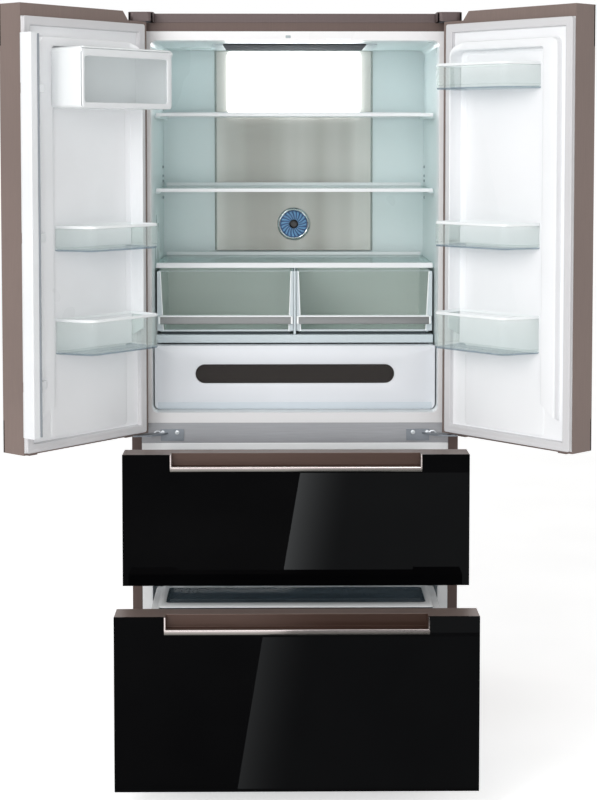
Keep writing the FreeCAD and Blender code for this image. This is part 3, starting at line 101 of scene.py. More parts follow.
class Tree:
    """A small helper around the node tree of one material or of the world."""

    def __init__(self, name, kind="Material"):
        store = bpy.data.worlds if kind == "World" else bpy.data.materials
        self.owner = store.new(name)
        self.owner.use_nodes = True
        self.nodes = self.owner.node_tree.nodes
        self.links = self.owner.node_tree.links
        self.nodes.clear()
        self.output = self.nodes.new("ShaderNodeOutput" + kind)

    def add(self, kind, inputs=None, **settings):
        node = self.nodes.new("ShaderNode" + kind)
        for key, value in settings.items():
            setattr(node, key, value)
        for key, value in (inputs or {}).items():
            socket = node.inputs[key]
            if hasattr(value, "is_linked"):
                self.links.new(value, socket)
            else:
                socket.default_value = value
        return node

    def shader(self, **inputs):
        named = {key.replace("_", " "): value for key, value in inputs.items()}
        return self.add("BsdfPrincipled", named)

    def finish(self, shader):
        self.links.new(shader.outputs[0], self.output.inputs["Surface"])
        return self.owner

    def coords(self, scale=(1, 1, 1)):
        place = self.add("TexCoord")
        return self.add("Mapping", {"Vector": place.outputs["Object"], "Scale": scale}).outputs[0]

    def place(self):
        """Where a point is, in the object's own metres; outputs X, Y and Z."""
        return self.add("SeparateXYZ", {"Vector": self.coords()}).outputs

    def calc(self, operation, *values):
        """One Math node; the values are numbers or sockets."""
        return self.add("Math", dict(enumerate(values)), operation=operation).outputs[0]

    def noise(self, scale, detail, stretch=(1, 1, 1)):
        inputs = {"Vector": self.coords(stretch), "Scale": scale, "Detail": detail}
        return self.add("TexNoise", inputs).outputs["Fac"]

    def ramp(self, factor, stops):
        node = self.add("ValToRGB", {"Fac": factor})
        ramp = node.color_ramp
        while len(ramp.elements) > 1:
            ramp.elements.remove(ramp.elements[-1])
        ramp.elements[0].position, ramp.elements[0].color = stops[0]
        for position, color in stops[1:]:
            ramp.elements.new(position).color = color
        return node.outputs["Color"]

    def remap(self, value, start, end, low=0.0, high=1.0):
        """Maps start..end to low..high."""
        inputs = {"Value": value, "From Min": start, "From Max": end, "To Min": low, "To Max": high}
        return self.add("MapRange", inputs).outputs["Result"]

    def spread(self, factor, low, high):
        """Maps 0..1 to low..high."""
        return self.remap(factor, 0.0, 1.0, low, high)

    def bump(self, height, strength, distance):
        return self.add("Bump", {"Height": height, "Strength": strength, "Distance": distance}).outputs[0]


def shade(color, factor):
    return tuple(min(1.0, channel * factor) for channel in color[:3]) + (1.0,)


LINER_GRAIN = (600.0, 0.05)  # a liner's or moulding's grain: scale and depth
BROWN = linear(128, 112, 106)
# In metres of the row frame
LINER_SHADE_DEPTH = 0.05  # where the liner's painted shade, cooler and darker inside, is full
PULL_BAR = 0.012  # height of a pull's bar
RECESS_HALF = 0.3003  # half the width of the finger recess over it


def metal(name, color, metallic, roughness, grain=(1, 1, 0.02)):
    """Painted or brushed metal: long fine grain, slow colour drift, uneven gloss."""
    t = Tree(name)
    color = linear(*color)
    fine = t.noise(900.0, 2.0, grain)
    slow = t.noise(3.0, 3.0)
    tint = t.ramp(t.calc("MULTIPLY", fine, slow), [(0.0, shade(color, 0.86)), (0.5, shade(color, 1.1))])
    surface = t.shader(
        Base_Color=tint, Metallic=metallic,
        Roughness=t.spread(slow, roughness - 0.06, roughness + 0.08),
        Normal=t.bump(fine, 0.08, 0.0004),
    )
    return t.finish(surface)


def plastic(name, color, roughness, grain=LINER_GRAIN, specular=0.4):
    """Moulded plastic: faint grain, very slow shade drift."""
    t = Tree(name)
    color = linear(*color)
    fine = t.noise(grain[0], 3.0)
    slow = t.noise(4.0, 2.0)
    tint = t.ramp(slow, [(0.3, shade(color, 0.975)), (0.7, shade(color, 1.025))])
    surface = t.shader(
        Base_Color=tint, Specular_IOR_Level=specular,
        Roughness=t.spread(slow, roughness - 0.05, roughness + 0.05),
        Normal=t.bump(fine, grain[1], 0.0003),
    )
    return t.finish(surface)


def clear(name, color, through, veil, edge):
    """Clear moulded plastic or glass: see-through, with a pale veil that thickens towards the edges."""
    t = Tree(name)
    slow = t.noise(14.0, 2.0)
    normal = t.bump(slow, 0.03, 0.002)
    passing = t.add("BsdfTransparent", {"Color": linear(*through)})
    body = t.shader(Base_Color=linear(*color), Roughness=0.08, Normal=normal)
    facing = t.add("LayerWeight", {"Blend": 0.16, "Normal": normal}).outputs["Facing"]
    share = t.calc("ADD", t.spread(facing, veil, edge), t.spread(slow, -0.01, 0.02))
    return t.finish(t.add("MixShader", {0: share, 1: passing.outputs[0], 2: body.outputs[0]}))


def black_glass():
    """Deep black glass with a very faint wave; only mirror-sharp reflections show in it."""
    t = Tree("black_glass")
    slow = t.noise(6.0, 2.0)
    tint = t.ramp(slow, [(0.3, linear(4, 4, 5)), (0.7, linear(6, 6, 7))])
    normal = t.bump(t.noise(2.2, 1.0), 0.015, 0.002)
    return t.finish(t.shader(Base_Color=tint, Roughness=0.0, Specular_IOR_Level=0.02, Normal=normal))


def lamp_glow():
    """The light panel's diffuser, lit."""
    t = Tree("lamp_glow")
    slow = t.noise(5.0, 1.0)
    tint = t.ramp(slow, [(0.2, linear(250, 252, 255)), (0.8, linear(255, 255, 255))])
    surface = t.shader(Base_Color=linear(255, 255, 255), Roughness=0.6, Emission_Color=tint, Emission_Strength=5.8)
    return t.finish(surface)


def chrome(name, color, roughness):
    t = Tree(name)
    color = linear(*color)
    fine = t.noise(300.0, 2.0)
    surface = t.shader(
        Base_Color=t.ramp(fine, [(0.3, shade(color, 0.93)), (0.7, shade(color, 1.04))]),
        Metallic=1.0, Roughness=t.spread(fine, roughness - 0.03, roughness + 0.05),
    )
    return t.finish(surface)


def pull_painted_shading(name, foot):
    """Bright pull of a drawer: its bar goes from dark at its foot to bright at its top, painted shade and highlight of
    a rounded bar.
    """
    t = Tree(name)
    fine = t.noise(300.0, 2.0)
    # Painted shade at the bar's foot and painted highlight at its top
    tint = t.ramp(t.remap(t.place()["Z"], foot, foot + PULL_BAR), [
        (0.0, linear(84, 83, 80)), (0.3, linear(112, 109, 105)), (0.6, linear(150, 143, 140)),
        (0.9, linear(200, 190, 188)),
    ])
    return t.finish(t.shader(Base_Color=tint, Metallic=1.0, Roughness=t.spread(fine, 0.15, 0.23)))


def foam():
    t = Tree("foam_core")
    cells = t.add("TexVoronoi", {"Vector": t.coords(), "Scale": 220.0}).outputs["Distance"]
    tint = t.ramp(cells, [(0.0, linear(206, 190, 140)), (1.0, linear(238, 226, 184))])
    surface = t.shader(Base_Color=tint, Roughness=0.9, Normal=t.bump(cells, 0.4, 0.002))
    return t.finish(surface)


def steel_panel():
    """The tall panel on the back wall: brushed, with soft upright bands of shade."""
    t = Tree("duct_steel")
    bands = t.noise(9.0, 1.5, (1, 0.05, 0.04))
    fine = t.noise(700.0, 2.0, (0.05, 1, 1))
    tint = t.ramp(bands, [
        (0.34, linear(158, 157, 151)), (0.5, linear(174, 174, 169)), (0.66, linear(190, 191, 186)),
    ])
    surface = t.shader(
        Base_Color=tint, Metallic=0.2, Roughness=t.spread(fine, 0.36, 0.46), Normal=t.bump(fine, 0.05, 0.0003),
    )
    return t.finish(surface)


def drawer_front(name, back, foot):
    """Drawer frame: painted metal; inside the finger recess, in front of back and over foot, a darker brown that is
    partly the recess's own finish and partly painted shade.
    """
    t = Tree(name)
    place = t.place()
    between = t.calc("LESS_THAN", t.calc("ABSOLUTE", place["X"]), RECESS_HALF)
    ahead = t.calc("LESS_THAN", place["Y"], back)
    above = t.calc("GREATER_THAN", place["Z"], foot)
    inside = t.calc("MULTIPLY", t.calc("MULTIPLY", between, ahead), above)
    fine = t.noise(900.0, 2.0, (0.02, 1, 1))
    slow = t.noise(3.0, 3.0)
    pale = t.ramp(fine, [(0.2, shade(BROWN, 0.94)), (0.8, shade(BROWN, 1.06))])
    # Darker brown inside the recess: partly its own finish, partly painted shade
    recess_shade = t.ramp(fine, [(0.2, linear(60, 40, 30)), (0.8, linear(69, 46, 37))])
    tint = t.add("MixRGB", {"Fac": inside, "Color1": pale, "Color2": recess_shade}).outputs[0]
    surface = t.shader(
        Base_Color=tint, Metallic=0.3, Roughness=t.spread(slow, 0.34, 0.46), Normal=t.bump(fine, 0.06, 0.0004),
    )
    return t.finish(surface)


def cabinet_liner_painted_shade():
    """Liner of the fresh compartment: white at the front rim, cooler and darker deeper in, which is painted shade."""
    t = Tree("liner_cool")
    depth = t.remap(t.place()["Y"], SHIFT_Y * MM, LINER_SHADE_DEPTH)
    fine = t.noise(LINER_GRAIN[0], 3.0)
    slow = t.noise(4.0, 2.0)
    # The ramp from the white rim to the cooler inside is painted shade
    tint = t.ramp(depth, [
        (0.0, linear(240, 239, 240)), (0.25, linear(236, 239, 240)), (1.0, linear(220, 231, 232)),
    ])
    surface = t.shader(
        Base_Color=tint, Specular_IOR_Level=0.4,
        Roughness=t.spread(slow, 0.24, 0.34), Normal=t.bump(fine, LINER_GRAIN[1], 0.0003),
    )
    return t.finish(surface)


# Finishes of their own. The numbers say where the recesses' backs and feet and the pulls' feet are, in metres.
MATERIALS = {
    "upper_front": drawer_front("upper_front", -0.2988, 0.7660),
    "lower_front": drawer_front("lower_front", -0.5288, 0.4353),
    "upper_pull": pull_painted_shading("upper_pull", 0.7538),
    "lower_pull": pull_painted_shading("lower_pull", 0.4231),
    "liner_cool": cabinet_liner_painted_shade(),
    "black_glass": black_glass(),
    "grey_plastic": steel_panel(),
    "lamp_plastic": lamp_glow(),
    "foam_core": foam(),
}
# Name, colour, share of metal, roughness and, where it isn't upright, the grain's stretch
ACROSS, DIAGONAL = (0.02, 1, 1), (0.05, 1, 1)
for name, *finish in (
    ("case_metal", (86, 70, 65), 0.35, 0.42),
    ("front_metal", (128, 112, 106), 0.35, 0.4),
    ("cap_metal", (87, 74, 73), 0.35, 0.42),
    ("beam_metal", (166, 167, 171), 0.3, 0.42, ACROSS),
    ("zinc_steel", (188, 193, 200), 0.6, 0.34, DIAGONAL),
    ("hinge_steel", (140, 146, 153), 0.5, 0.36, DIAGONAL),
    ("bright_aluminium", (190, 193, 196), 0.9, 0.3),
    ("bar_satin", (109, 111, 111), 0.4, 0.34, ACROSS),
    ("screw_bright", (232, 236, 240), 0.25, 0.25),
):
    MATERIALS[name] = metal(name, *finish)
# Name, colour, roughness and, where it differs, the grain and the gloss
for name, *finish in (
    ("liner_white", (245, 246, 248), 0.3),
    ("freezer_white", (249, 250, 251), 0.32),
    ("drawer_white", (229, 232, 237), 0.3),
    ("lip_cool", (200, 209, 216), 0.3),
    ("tray_grey", (190, 191, 193), 0.45),
    ("rim_white", (246, 249, 250), 0.25),
    ("motor_black", (26, 26, 28), 0.4, (200.0, 0.2)),
    ("crisper_frost", (206, 213, 209), 0.4, LINER_GRAIN, 0.2),
    ("foot_dark", (52, 60, 66), 0.6),
    ("cover_cool", (206, 216, 220), 0.3),
    ("crisper_rim", (206, 215, 219), 0.3),
    ("gasket_grey", (215, 214, 216), 0.55, (400.0, 0.06)),
    ("white_plastic", (236, 238, 240), 0.38),
    ("lip_grey", (132, 138, 144), 0.5),
    ("lug_grey", (168, 178, 182), 0.4),
    ("vent_grey", (96, 98, 102), 0.8, LINER_GRAIN, 0.02),
    ("vent_dark", (30, 32, 34), 0.6),
    ("filter_blue", (128, 176, 220), 0.2),
    ("filter_deep", (58, 98, 150), 0.3),
    ("filter_dark", (14, 16, 22), 0.25, LINER_GRAIN, 0.3),
    ("dark_plastic", (82, 68, 64), 0.42),
):
    MATERIALS[name] = plastic(name, *finish)
# Name, colour of its surface, colour seen through it, and how strong the surface is face on and edge on
for name, *finish in (
    ("shelf_glass", (214, 232, 232), (247, 252, 251), 0.03, 0.6),
    ("clear_plastic", (232, 239, 240), (251, 253, 252), 0.05, 0.5),
    ("clear_foot", (142, 156, 168), (216, 226, 232), 0.34, 0.7),
    ("crisper_clear", (212, 219, 218), (252, 253, 252), 0.03, 0.4),
    # The baskets' darker grey-blue stands in for the shade inside the freezer drawers: painted shade
    ("basket_clear", (128, 140, 148), (214, 222, 226), 0.2, 0.7),
    ("lid_clear", (240, 243, 245), (254, 255, 255), 0.06, 0.5),
    # The wide drawer's window: its dark tint stands in for the drawer's contents and the shade inside it, painted
    # shade
    ("smoked_window", (78, 73, 71), (192, 189, 187), 0.22, 0.6),
):
    MATERIALS[name] = clear(name, *finish)
for name, *finish in (("bright_trim", (186, 182, 180), 0.18), ("ring_chrome", (206, 209, 212), 0.1)):
    MATERIALS[name] = chrome(name, *finish)

# CAD nodes that don't take the finish named after their slot
NODE_MATERIALS = {
    "fridge_liner": "liner_cool", "drawer_cover": "cover_cool", "evaporator_fan": "motor_black",
    "levelling_feet": "motor_black", "drain_pan": "motor_black", "top_covers": "cap_metal",
    "door_hinges": "hinge_steel",
    "upper_drawer_frame": "upper_front", "lower_drawer_frame": "lower_front",
    "upper_drawer_pull": "upper_pull", "lower_drawer_pull": "lower_pull",
}
# How far the edges of the CAD nodes that stay are rounded, in millimetres
SOFT_EDGES = {
    "outer_cabinet": 0.8, "fridge_liner": 2.0, "freezer_liner": 1.6, "cross_rails": 0.8, "rear_panels": 0.5,
    "duct_panel": 1.2, "light_panel": 1.6, "shelf_trims": 2.0, "drawer_cover": 1.2, "door_hinges": 0.7,
    "top_covers": 1.2, "left_door_frame": 1.0, "right_door_frame": 1.0, "left_door_glass": 0.6,
    "right_door_glass": 0.6, "upper_drawer_frame": 1.0, "lower_drawer_frame": 1.0, "upper_drawer_glass": 0.6,
    "lower_drawer_glass": 0.6, "upper_drawer_pull": 0.8, "lower_drawer_pull": 0.8, "mullion_flap": 1.2,
    "compressor": 1.0, "drain_pan": 0.8, "levelling_feet": 0.8, "top_shelf": 0.8, "middle_shelf": 0.8,
    "crisper_shelf": 0.8,
}
EASE_ANGLE = math.radians(40)  # edges sharper than this are rounded
SHARP_ANGLE = math.radians(32)  # edges sharper than this stay sharp in a piece of the scene

for entry in frame["record"]["subparts"]:
    name = entry["node"]
    chosen = MATERIALS[NODE_MATERIALS.get(name, entry["material_slot"])]
    mesh = nodes[name].data
    mesh.materials.clear()
    mesh.materials.append(chosen)
    if name in SOFT_EDGES:
        join = nodes[name].modifiers.new("join", "WELD")
        join.merge_threshold = 0.00001
        ease = nodes[name].modifiers.new("ease", "BEVEL")
        ease.width = SOFT_EDGES[name] * MM
        ease.segments = 2
        ease.limit_method = "ANGLE"
        ease.angle_limit = EASE_ANGLE


# Shapes, all in millimetres until a piece is placed


class Shape:
    """Points and faces of one piece, in millimetres, with a material number for each face."""

    def __init__(self):
        self.points = []
        self.faces = []
        self.paint = []

    def loft(self, rings, paint=0, closed=False, first=False, last=False, open_ring=False):
        """Skin a row of rings that have the same number of points; paint may be one number per strip."""
        count = len(rings[0])
        strips = len(rings) if closed else len(rings) - 1
        sides = count - 1 if open_ring else count
        base = len(self.points)
        self.points.extend(tuple(point) for ring in rings for point in ring)
        for row in range(strips):
            a = base + row * count
            b = base + ((row + 1) % len(rings)) * count
            number = paint if isinstance(paint, int) else paint[row]
            for i in range(sides):
                j = (i + 1) % count
                self.faces.append([a + i, a + j, b + j, b + i])
                self.paint.append(number)
        numbers = (paint, paint) if isinstance(paint, int) else (paint[0], paint[-1])
        if first:
            self.faces.append([base + i for i in reversed(range(count))])
            self.paint.append(numbers[0])
        if last:
            end = base + (len(rings) - 1) * count
            self.faces.append([end + i for i in range(count)])
            self.paint.append(numbers[1])

    def prism(self, outline, axes, low, high, paint=0, soft=0.0):
        """An outline carried from low to high, with its two ends eased by soft."""
        steps = [(soft, low), (0.0, low + soft), (0.0, high - soft), (soft, high)] if soft else [(0, low), (0, high)]
        rings = []
        for ease, level in steps:
            rings.append([axes(point, level) for point in (inset(outline, ease) if ease else outline)])
        self.loft(rings, paint, first=True, last=True)

    def block(self, x, y, z, soft, paint=0):
        self.prism(rect(x, y, soft, 2), flat, z[0], z[1], paint, soft)

    def repaint(self, old, new, test):
        """Give faces of one paint another where their middle passes the test."""
        for i, face in enumerate(self.faces):
            if self.paint[i] == old:
                middle = sum((Vector(self.points[k]) for k in face), Vector()) / len(face)
                if test(middle):
                    self.paint[i] = new

    def lathe(self, profile, place, steps, paint=0, last=False):
        """Turn (radius, depth) points about an axis along Y through place."""
        rings = []
        for radius, depth in profile:
            rings.append([around(place, radius, math.tau * k / steps, depth) for k in range(steps)])
        self.loft(rings, paint, last=last)

    def tube(self, path, radius, steps):
        """A round bar along a path of points."""
        rings = []
        count = len(path)
        for i, point in enumerate(path):
            here = Vector(point)
            ahead = (Vector(path[min(i + 1, count - 1)]) - Vector(path[max(i - 1, 0)])).normalized()
            side = ahead.cross(Vector((0, 0, 1)))
            if side.length < 1e-3:
                side = Vector((1, 0, 0))
            side.normalize()
            up = side.cross(ahead)
            ring = []
            for k in range(steps):
                angle = math.tau * k / steps
                ring.append(here + side * (radius * math.cos(angle)) + up * (radius * math.sin(angle)))
            rings.append(ring)
        self.loft(rings, first=True, last=True)


def around(place, radius, angle, depth):
    """A point on a circle that faces the front, depth behind place."""
    return (place[0] + radius * math.cos(angle), place[1] + depth, place[2] + radius * math.sin(angle))


# Which way an outline lies: (x, y) at a height, (x, z) at a depth, or (y, z) at a place across


def flat(point, level):
    return (point[0], point[1], level)


def front(point, level):
    return (point[0], level, point[1])


def sideways(point, level):
    return (level, point[0], point[1])


def inset(outline, distance):
    """The outline with each side moved inwards; it runs counter-clockwise."""
    out = []
    count = len(outline)
    for i, point in enumerate(outline):
        before, here, after = Vector(outline[i - 1]), Vector(point), Vector(outline[(i + 1) % count])
        a, b = (here - before), (after - here)
        if a.length < 1e-6 or b.length < 1e-6:
            out.append(tuple(here))
            continue
        a.normalize()
        b.normalize()
        n0, n1 = Vector((-a.y, a.x)), Vector((-b.y, b.x))
        spread = max(0.3, 1 + n0.dot(n1))
        out.append(tuple(here + (n0 + n1) * (distance / spread)))
    return out


def rounded(corners, radius, steps):
    """A convex outline with rounded corners, steps + 1 points to each; radius may be one per corner."""
    out = []
    count = len(corners)
    for i, corner in enumerate(corners):
        r = radius[i] if isinstance(radius, (list, tuple)) else radius
        here = Vector(corner)
        a = Vector(corners[i - 1]) - here
        b = Vector(corners[(i + 1) % count]) - here
        half = a.angle(b) / 2
        cut = min(max(r, 0.01) / math.tan(half), a.length * 0.49, b.length * 0.49)
        start = here + a.normalized() * cut
        end = here + b.normalized() * cut
        r = cut * math.tan(half)
        centre = here + (a.normalized() + b.normalized()).normalized() * (r / math.sin(half))
        first = start - centre
        last = end - centre
        for k in range(steps + 1):
            t = k / steps
            way = first.lerp(last, t)
            out.append(tuple(centre + way.normalized() * r))
    return out


def corners_of(x, z):
    return [(x[0], z[0]), (x[1], z[0]), (x[1], z[1]), (x[0], z[1])]


def rect(x, z, radius, steps):
    return rounded(corners_of(x, z), radius, steps)


def stack(corners, radius, profile, axes, steps=4):
    """Rings for a loft: each (inset, level) of the profile gives the outline moved in and set at that level."""
    each = radius if isinstance(radius, (list, tuple)) else [radius] * len(corners)
    rings = []
    for by, level in profile:
        moved = inset(corners, by) if by else corners
        rings.append([axes(point, level) for point in rounded(moved, [max(r - by, 0.4) for r in each], steps)])
    return rings


def piece(name, shape, matrix, body, paints, replaces):
    """Make the object, give it its materials, and set it on its body."""
    mesh = bpy.data.meshes.new(name)
    build = bmesh.new()
    points = [build.verts.new(matrix @ Vector(point)) for point in shape.points]
    for face, paint in zip(shape.faces, shape.paint):
        made = build.faces.new([points[i] for i in face])
        made.material_index = paint
        made.smooth = True
    bmesh.ops.recalc_face_normals(build, faces=build.faces)
    build.to_mesh(mesh)
    build.free()
    mesh.set_sharp_from_angle(angle=SHARP_ANGLE)
    for paint in paints if isinstance(paints, (list, tuple)) else [paints]:
        mesh.materials.append(MATERIALS[paint])
    made = bpy.data.objects.new(name, mesh)
    scene.collection.objects.link(made)
    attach(made, body)
    if replaces:
        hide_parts(*replaces)


def span(node):
    """A node's box in cabinet millimetres: the x, y and z limits."""
    low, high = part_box(node)
    return [(low[i] / MM + shift, high[i] / MM + shift) for i, shift in enumerate((0, -SHIFT_Y, 0))]


# Doors, in a door's own millimetres: u from the hinge, v into the fridge, z up

SEAL_U = (2.0, 400.5)
SEAL_Z = (815.0, 1838.0)
SEAL_DEEP = 11.5
V_IN = 30.0  # the face of the door's liner
RIDGE = 20.0  # rise of the liner's ridge
BIN_PEG = 40.0  # its rise where the bins hang on it
ARM_MIDDLE = 1323.0  # height of the middle one of the three arms that carry the flap
ARM_PITCH = 347.0
DAIRY_U = (44.0, 345.0)
DAIRY_Z = (1624.0, 1766.0)
DAIRY_ROOT = 50.0  # from the door's skin to the dairy box's back and front
DAIRY_REACH = 170.0


def bump_section(outer, inner, rise):
    """The ridge's cross-section between its outer and inner foot, as points (u, v, z)."""
    a, b = Vector(outer), Vector(inner)
    wide = (b - a).length
    across = (b - a).normalized()
    r = min(5.0, wide * 0.48, max(rise * 0.5, 0.01))
    marks = [(-3.0, -0.4), (-1.0, 0.3), (0.0, min(2.2, rise * 0.4)), (0.0, rise - r)]
    marks += [(r * (1 - math.cos(t)), rise - r + r * math.sin(t)) for t in (0.4, 0.8, 1.2, math.pi / 2)]
    other = [(wide - d, h) for d, h in reversed(marks)]
    points = []
    for d, h in marks + other:
        spot = a + across * d
        points.append((spot.x, V_IN + (h if rise > 0.1 else -0.5), spot.y))
    return points


def arc(centre, radius, start, end, steps):
    points = []
    for k in range(steps + 1):
        angle = math.radians(start + (end - start) * k / steps)
        points.append((centre[0] + radius * math.cos(angle), centre[1] + radius * math.sin(angle)))
    return points


def door_liner(side):
    name, matrix = DOORS[side]
    shape = Shape()
    plate = corners_of(SEAL_U, SEAL_Z)
    shape.loft(stack(plate, 3, [(0, V_IN - 3), (0, V_IN - 0.6), (0.6, V_IN)], front), first=True, last=True)
    # A panel that stands a little proud inside the ridge
    panel = corners_of((64, 316), (841, 1762))
    steps = [(-1.5, V_IN - 0.4), (0, V_IN + 0.3), (1.6, V_IN + 1.6), (3.5, V_IN + 2.0)]
    shape.loft(stack(panel, 12, steps, front), last=True)
    # Ridge: up the free side, over the top and down the hinge side
    outer = [(362, 884), (362, 892)] + arc((344, 1774), 18, 0, 90, 5)
    inner = [(318, 917), (318, 925)] + arc((312, 1764), 6, 0, 90, 5)
    rises = [0] + [RIDGE] * 7
    outer += arc((74.5, 1757), 35, 90, 180, 7)
    inner += arc((61, 1753), 16.5, 90, 175, 7)
    rises += [RIDGE, 21, 24, 29, 34, 38, BIN_PEG, BIN_PEG]
    outer += [(39.5, 1084), (39.5, 1064)]
    inner += [(43.7, 1084), (43.7, 1064)]
    rises += [BIN_PEG, 0]
    shape.loft([bump_section(o, i, h) for o, i, h in zip(outer, inner, rises)], open_ring=True)
    if side < 0:
        # Arms that carry the flap
        arm = [
            (346, 30), (357, 30), (404, 56.8), (408.4, 59), (409.4, 62.3), (408.4, 65.6), (404, 67.8), (372, 67.8),
            (352, 58),
        ]
        for step in (-1, 0, 1):
            middle = ARM_MIDDLE + ARM_PITCH * step
            shape.prism(arm, flat, middle - 10, middle + 10, soft=0.8)
    piece(f"{name}_inner_skin", shape, matrix, name, "liner_white", (f"{name}_liner",))


def seal_profile(d):
    """Cross-section of a folded seal of depth d as (inset, level), from its root outwards and back."""
    return [
        (0.4, 0), (0.0, 0.24 * d), (1.0, 0.36 * d), (0.8, 0.52 * d), (0.1, 0.64 * d), (0.5, 0.9 * d), (1.9, d),
        (9.4, 0.99 * d), (11.0, 0.965 * d), (12.6, 0.99 * d), (18.2, d), (20.2, 0.92 * d), (20.9, 0.66 * d),
        (20.4, 0.5 * d), (20.8, 0.34 * d), (21.8, 0.22 * d), (22.0, 0),
    ]


def door_seal(side):
    name, matrix = DOORS[side]
    shape = Shape()
    profile = [(by, V_IN + level) for by, level in seal_profile(SEAL_DEEP)]
    shape.loft(stack(corners_of(SEAL_U, SEAL_Z), 6, profile, front, 3), closed=True)
    piece(f"{name}_seal", shape, matrix, name, "gasket_grey", (f"{name}_gasket",))


def tray(shape, corners, radii, low, high, wall, rim, steps, foot, side, edge):
    """An open-topped moulded tray with a rolled rim; the last three are its paint numbers."""
    floor = low + 3.0
    profile = [
        (9.0, low), (3.0, low), (1.0, low + 1.2), (0.0, low + 4.0), (0.0, high - rim), (0.0, high - rim + 0.6),
        (0.0, high - 1.0), (0.8, high), (wall + 0.4, high), (wall + 1.0, high - 1.0), (wall + 1.0, high - rim),
        (wall, high - rim - 0.8), (wall, floor + 4.0), (wall + 2.0, floor + 1.0), (wall + 6.0, floor),
    ]
    strips = [foot] * 3 + [side] + [edge] * 7 + [side] * 3
    shape.loft(stack(corners, radii, profile, flat, steps), strips, first=True, last=True)


def door_bins(side, bins):
    """The bins of one door, each given by its foot and its height."""
    name, matrix = DOORS[side]
    shape = Shape()
    corners, radii = [(44, 30.2), (302, 30.2), (270, 130), (46, 130)], [2, 3, 26, 14]
    for low, tall in bins:
        # Each bin's foot takes a darker grey that stands in for the dark line where light bends at the thick foot:
        # painted shade
        tray(shape, corners, radii, low, low + tall, wall=2.5, rim=6.5, steps=5, foot=2, side=0, edge=1)
        # Moulded line round the foot
        line = [(0.0, low + 9.0), (-0.5, low + 9.6), (-0.5, low + 11.0), (0.0, low + 11.6)]
        shape.loft(stack(corners, radii, line, flat, 5))
    # The wall that lies against the door's skin is white with it
    shape.repaint(0, 3, lambda middle: middle.y < V_IN + 3.5)
    paints = ["clear_plastic", "rim_white", "clear_foot", "liner_white"]
    piece(f"{name}_bin_set", shape, matrix, name, paints, (f"{name}_bins",))


def dairy():
    u, root, reach = DAIRY_U, DAIRY_ROOT, DAIRY_REACH
    shape = Shape()
    profile = [
        (8, root), (2.4, root), (0.6, root + 1), (0, root + 3), (0, 90), (0, 130), (0, reach - 1.5),
        (0.6, reach - 0.4), (1.6, reach), (2.6, reach - 0.3), (3, reach - 1.5), (3, 130), (3, 90), (3, root + 6),
        (4.4, root + 3.6), (8, root + 3),
    ]
    rings = []
    for by, level in profile:
        # The free end leans out towards the cover
        far = u[1] - 20.0 * (1 - (level - root) / (reach - root)) ** 1.4 if level < reach else u[1]
        rings.append(stack(corners_of((u[0], far), DAIRY_Z), 9, [(by, level)], front, 5)[0])
    shape.loft(rings, first=True, last=True)
    back = corners_of((u[0] + 1, 315), (1625, 1765))
    shape.loft(stack(back, 5, [(0, V_IN + 0.4), (0, root + 0.6)], front), first=True, last=True)
    # Hood over the cover's hinge
    hood = [
        (reach - 4, 1761.6), (reach + 4.6, 1761.6), (reach + 5.4, 1762.6), (reach + 4.4, 1765), (reach + 1, 1766),
        (reach - 4, 1766),
    ]
    shape.prism(hood, sideways, u[0] + 7, u[1] - 7, soft=0.5)
    ear = [(reach - 6, 1752), (reach + 5, 1752), (reach + 5.6, 1758), (reach + 2, 1762.5), (reach - 6, 1764)]
    for start in (u[0], u[1] - 3):
        shape.prism(ear, sideways, start, start + 3, soft=0.5)
    piece("dairy_tub", shape, LEFT, "left_door", "rim_white", ("dairy_box",))

    cover = Shape()
    v = (reach + 0.3, reach + 5.3)
    outer = corners_of((u[0] + 3.2, u[1] - 3.2), (1624.2, 1759.4))
    hole = corners_of((u[0] + 18, u[1] - 10), (1637.0, 1743))
    rings = []
    for corners, radius, by, level in [
        (hole, 7, 0, v[0]), (outer, 9, 0.8, v[0]), (outer, 9, 0, v[0] + 0.9), (outer, 9, 0, v[1] - 1.4),
        (outer, 9, 0.5, v[1] - 0.5), (outer, 9, 1.5, v[1]), (hole, 7, -2.2, v[1]), (hole, 7, -0.8, v[1] - 0.5),
        (hole, 7, 0, v[1] - 1.6),
    ]:
        rings.append(stack(corners, radius, [(by, level)], front, 5)[0])
    cover.loft(rings, closed=True)
    pane = stack(hole, 7, [(-1, v[0] + 1.0), (-1, v[0] + 2.6)], front, 5)
    cover.loft(pane, 1, first=True, last=True)
    turns = [k * math.tau / 12 for k in range(12)]
    barrel = [(math.cos(t) * 2.4 + (v[0] + v[1]) / 2, math.sin(t) * 2.4 + 1758) for t in turns]
    cover.prism(barrel, sideways, u[0] + 3.4, u[1] - 3.4, soft=0.4)
    paints = ["white_plastic", "lid_clear"]
    piece("dairy_lid", cover, LEFT, "dairy_flip_cover", paints, ("dairy_cover",))


# Inside the cabinet

CRISPER_FRONT = 120.0  # depth of the crispers' front faces
WINDOW_X = (-257, 257)  # the long window in the wide drawer's front
WINDOW_Z = (922, 971)
WINDOW_ROUND = 24.5
FILTER = (0.0, 466.0, 1315.0)  # middle of the round filter, on the wall behind it
FILTER_BLADES = 20
VENT_HALF = 187.0  # half the width of the vent's slats
VENT_SLATS = 13
BASKET_INSET = 15.5  # from the outer edge of a basket's shoulders to its tub
RIB_PITCH = 56
TRAY_FRONT = -264.0  # depth of the low tray's front edge, with the drawer as far out as it is at rest


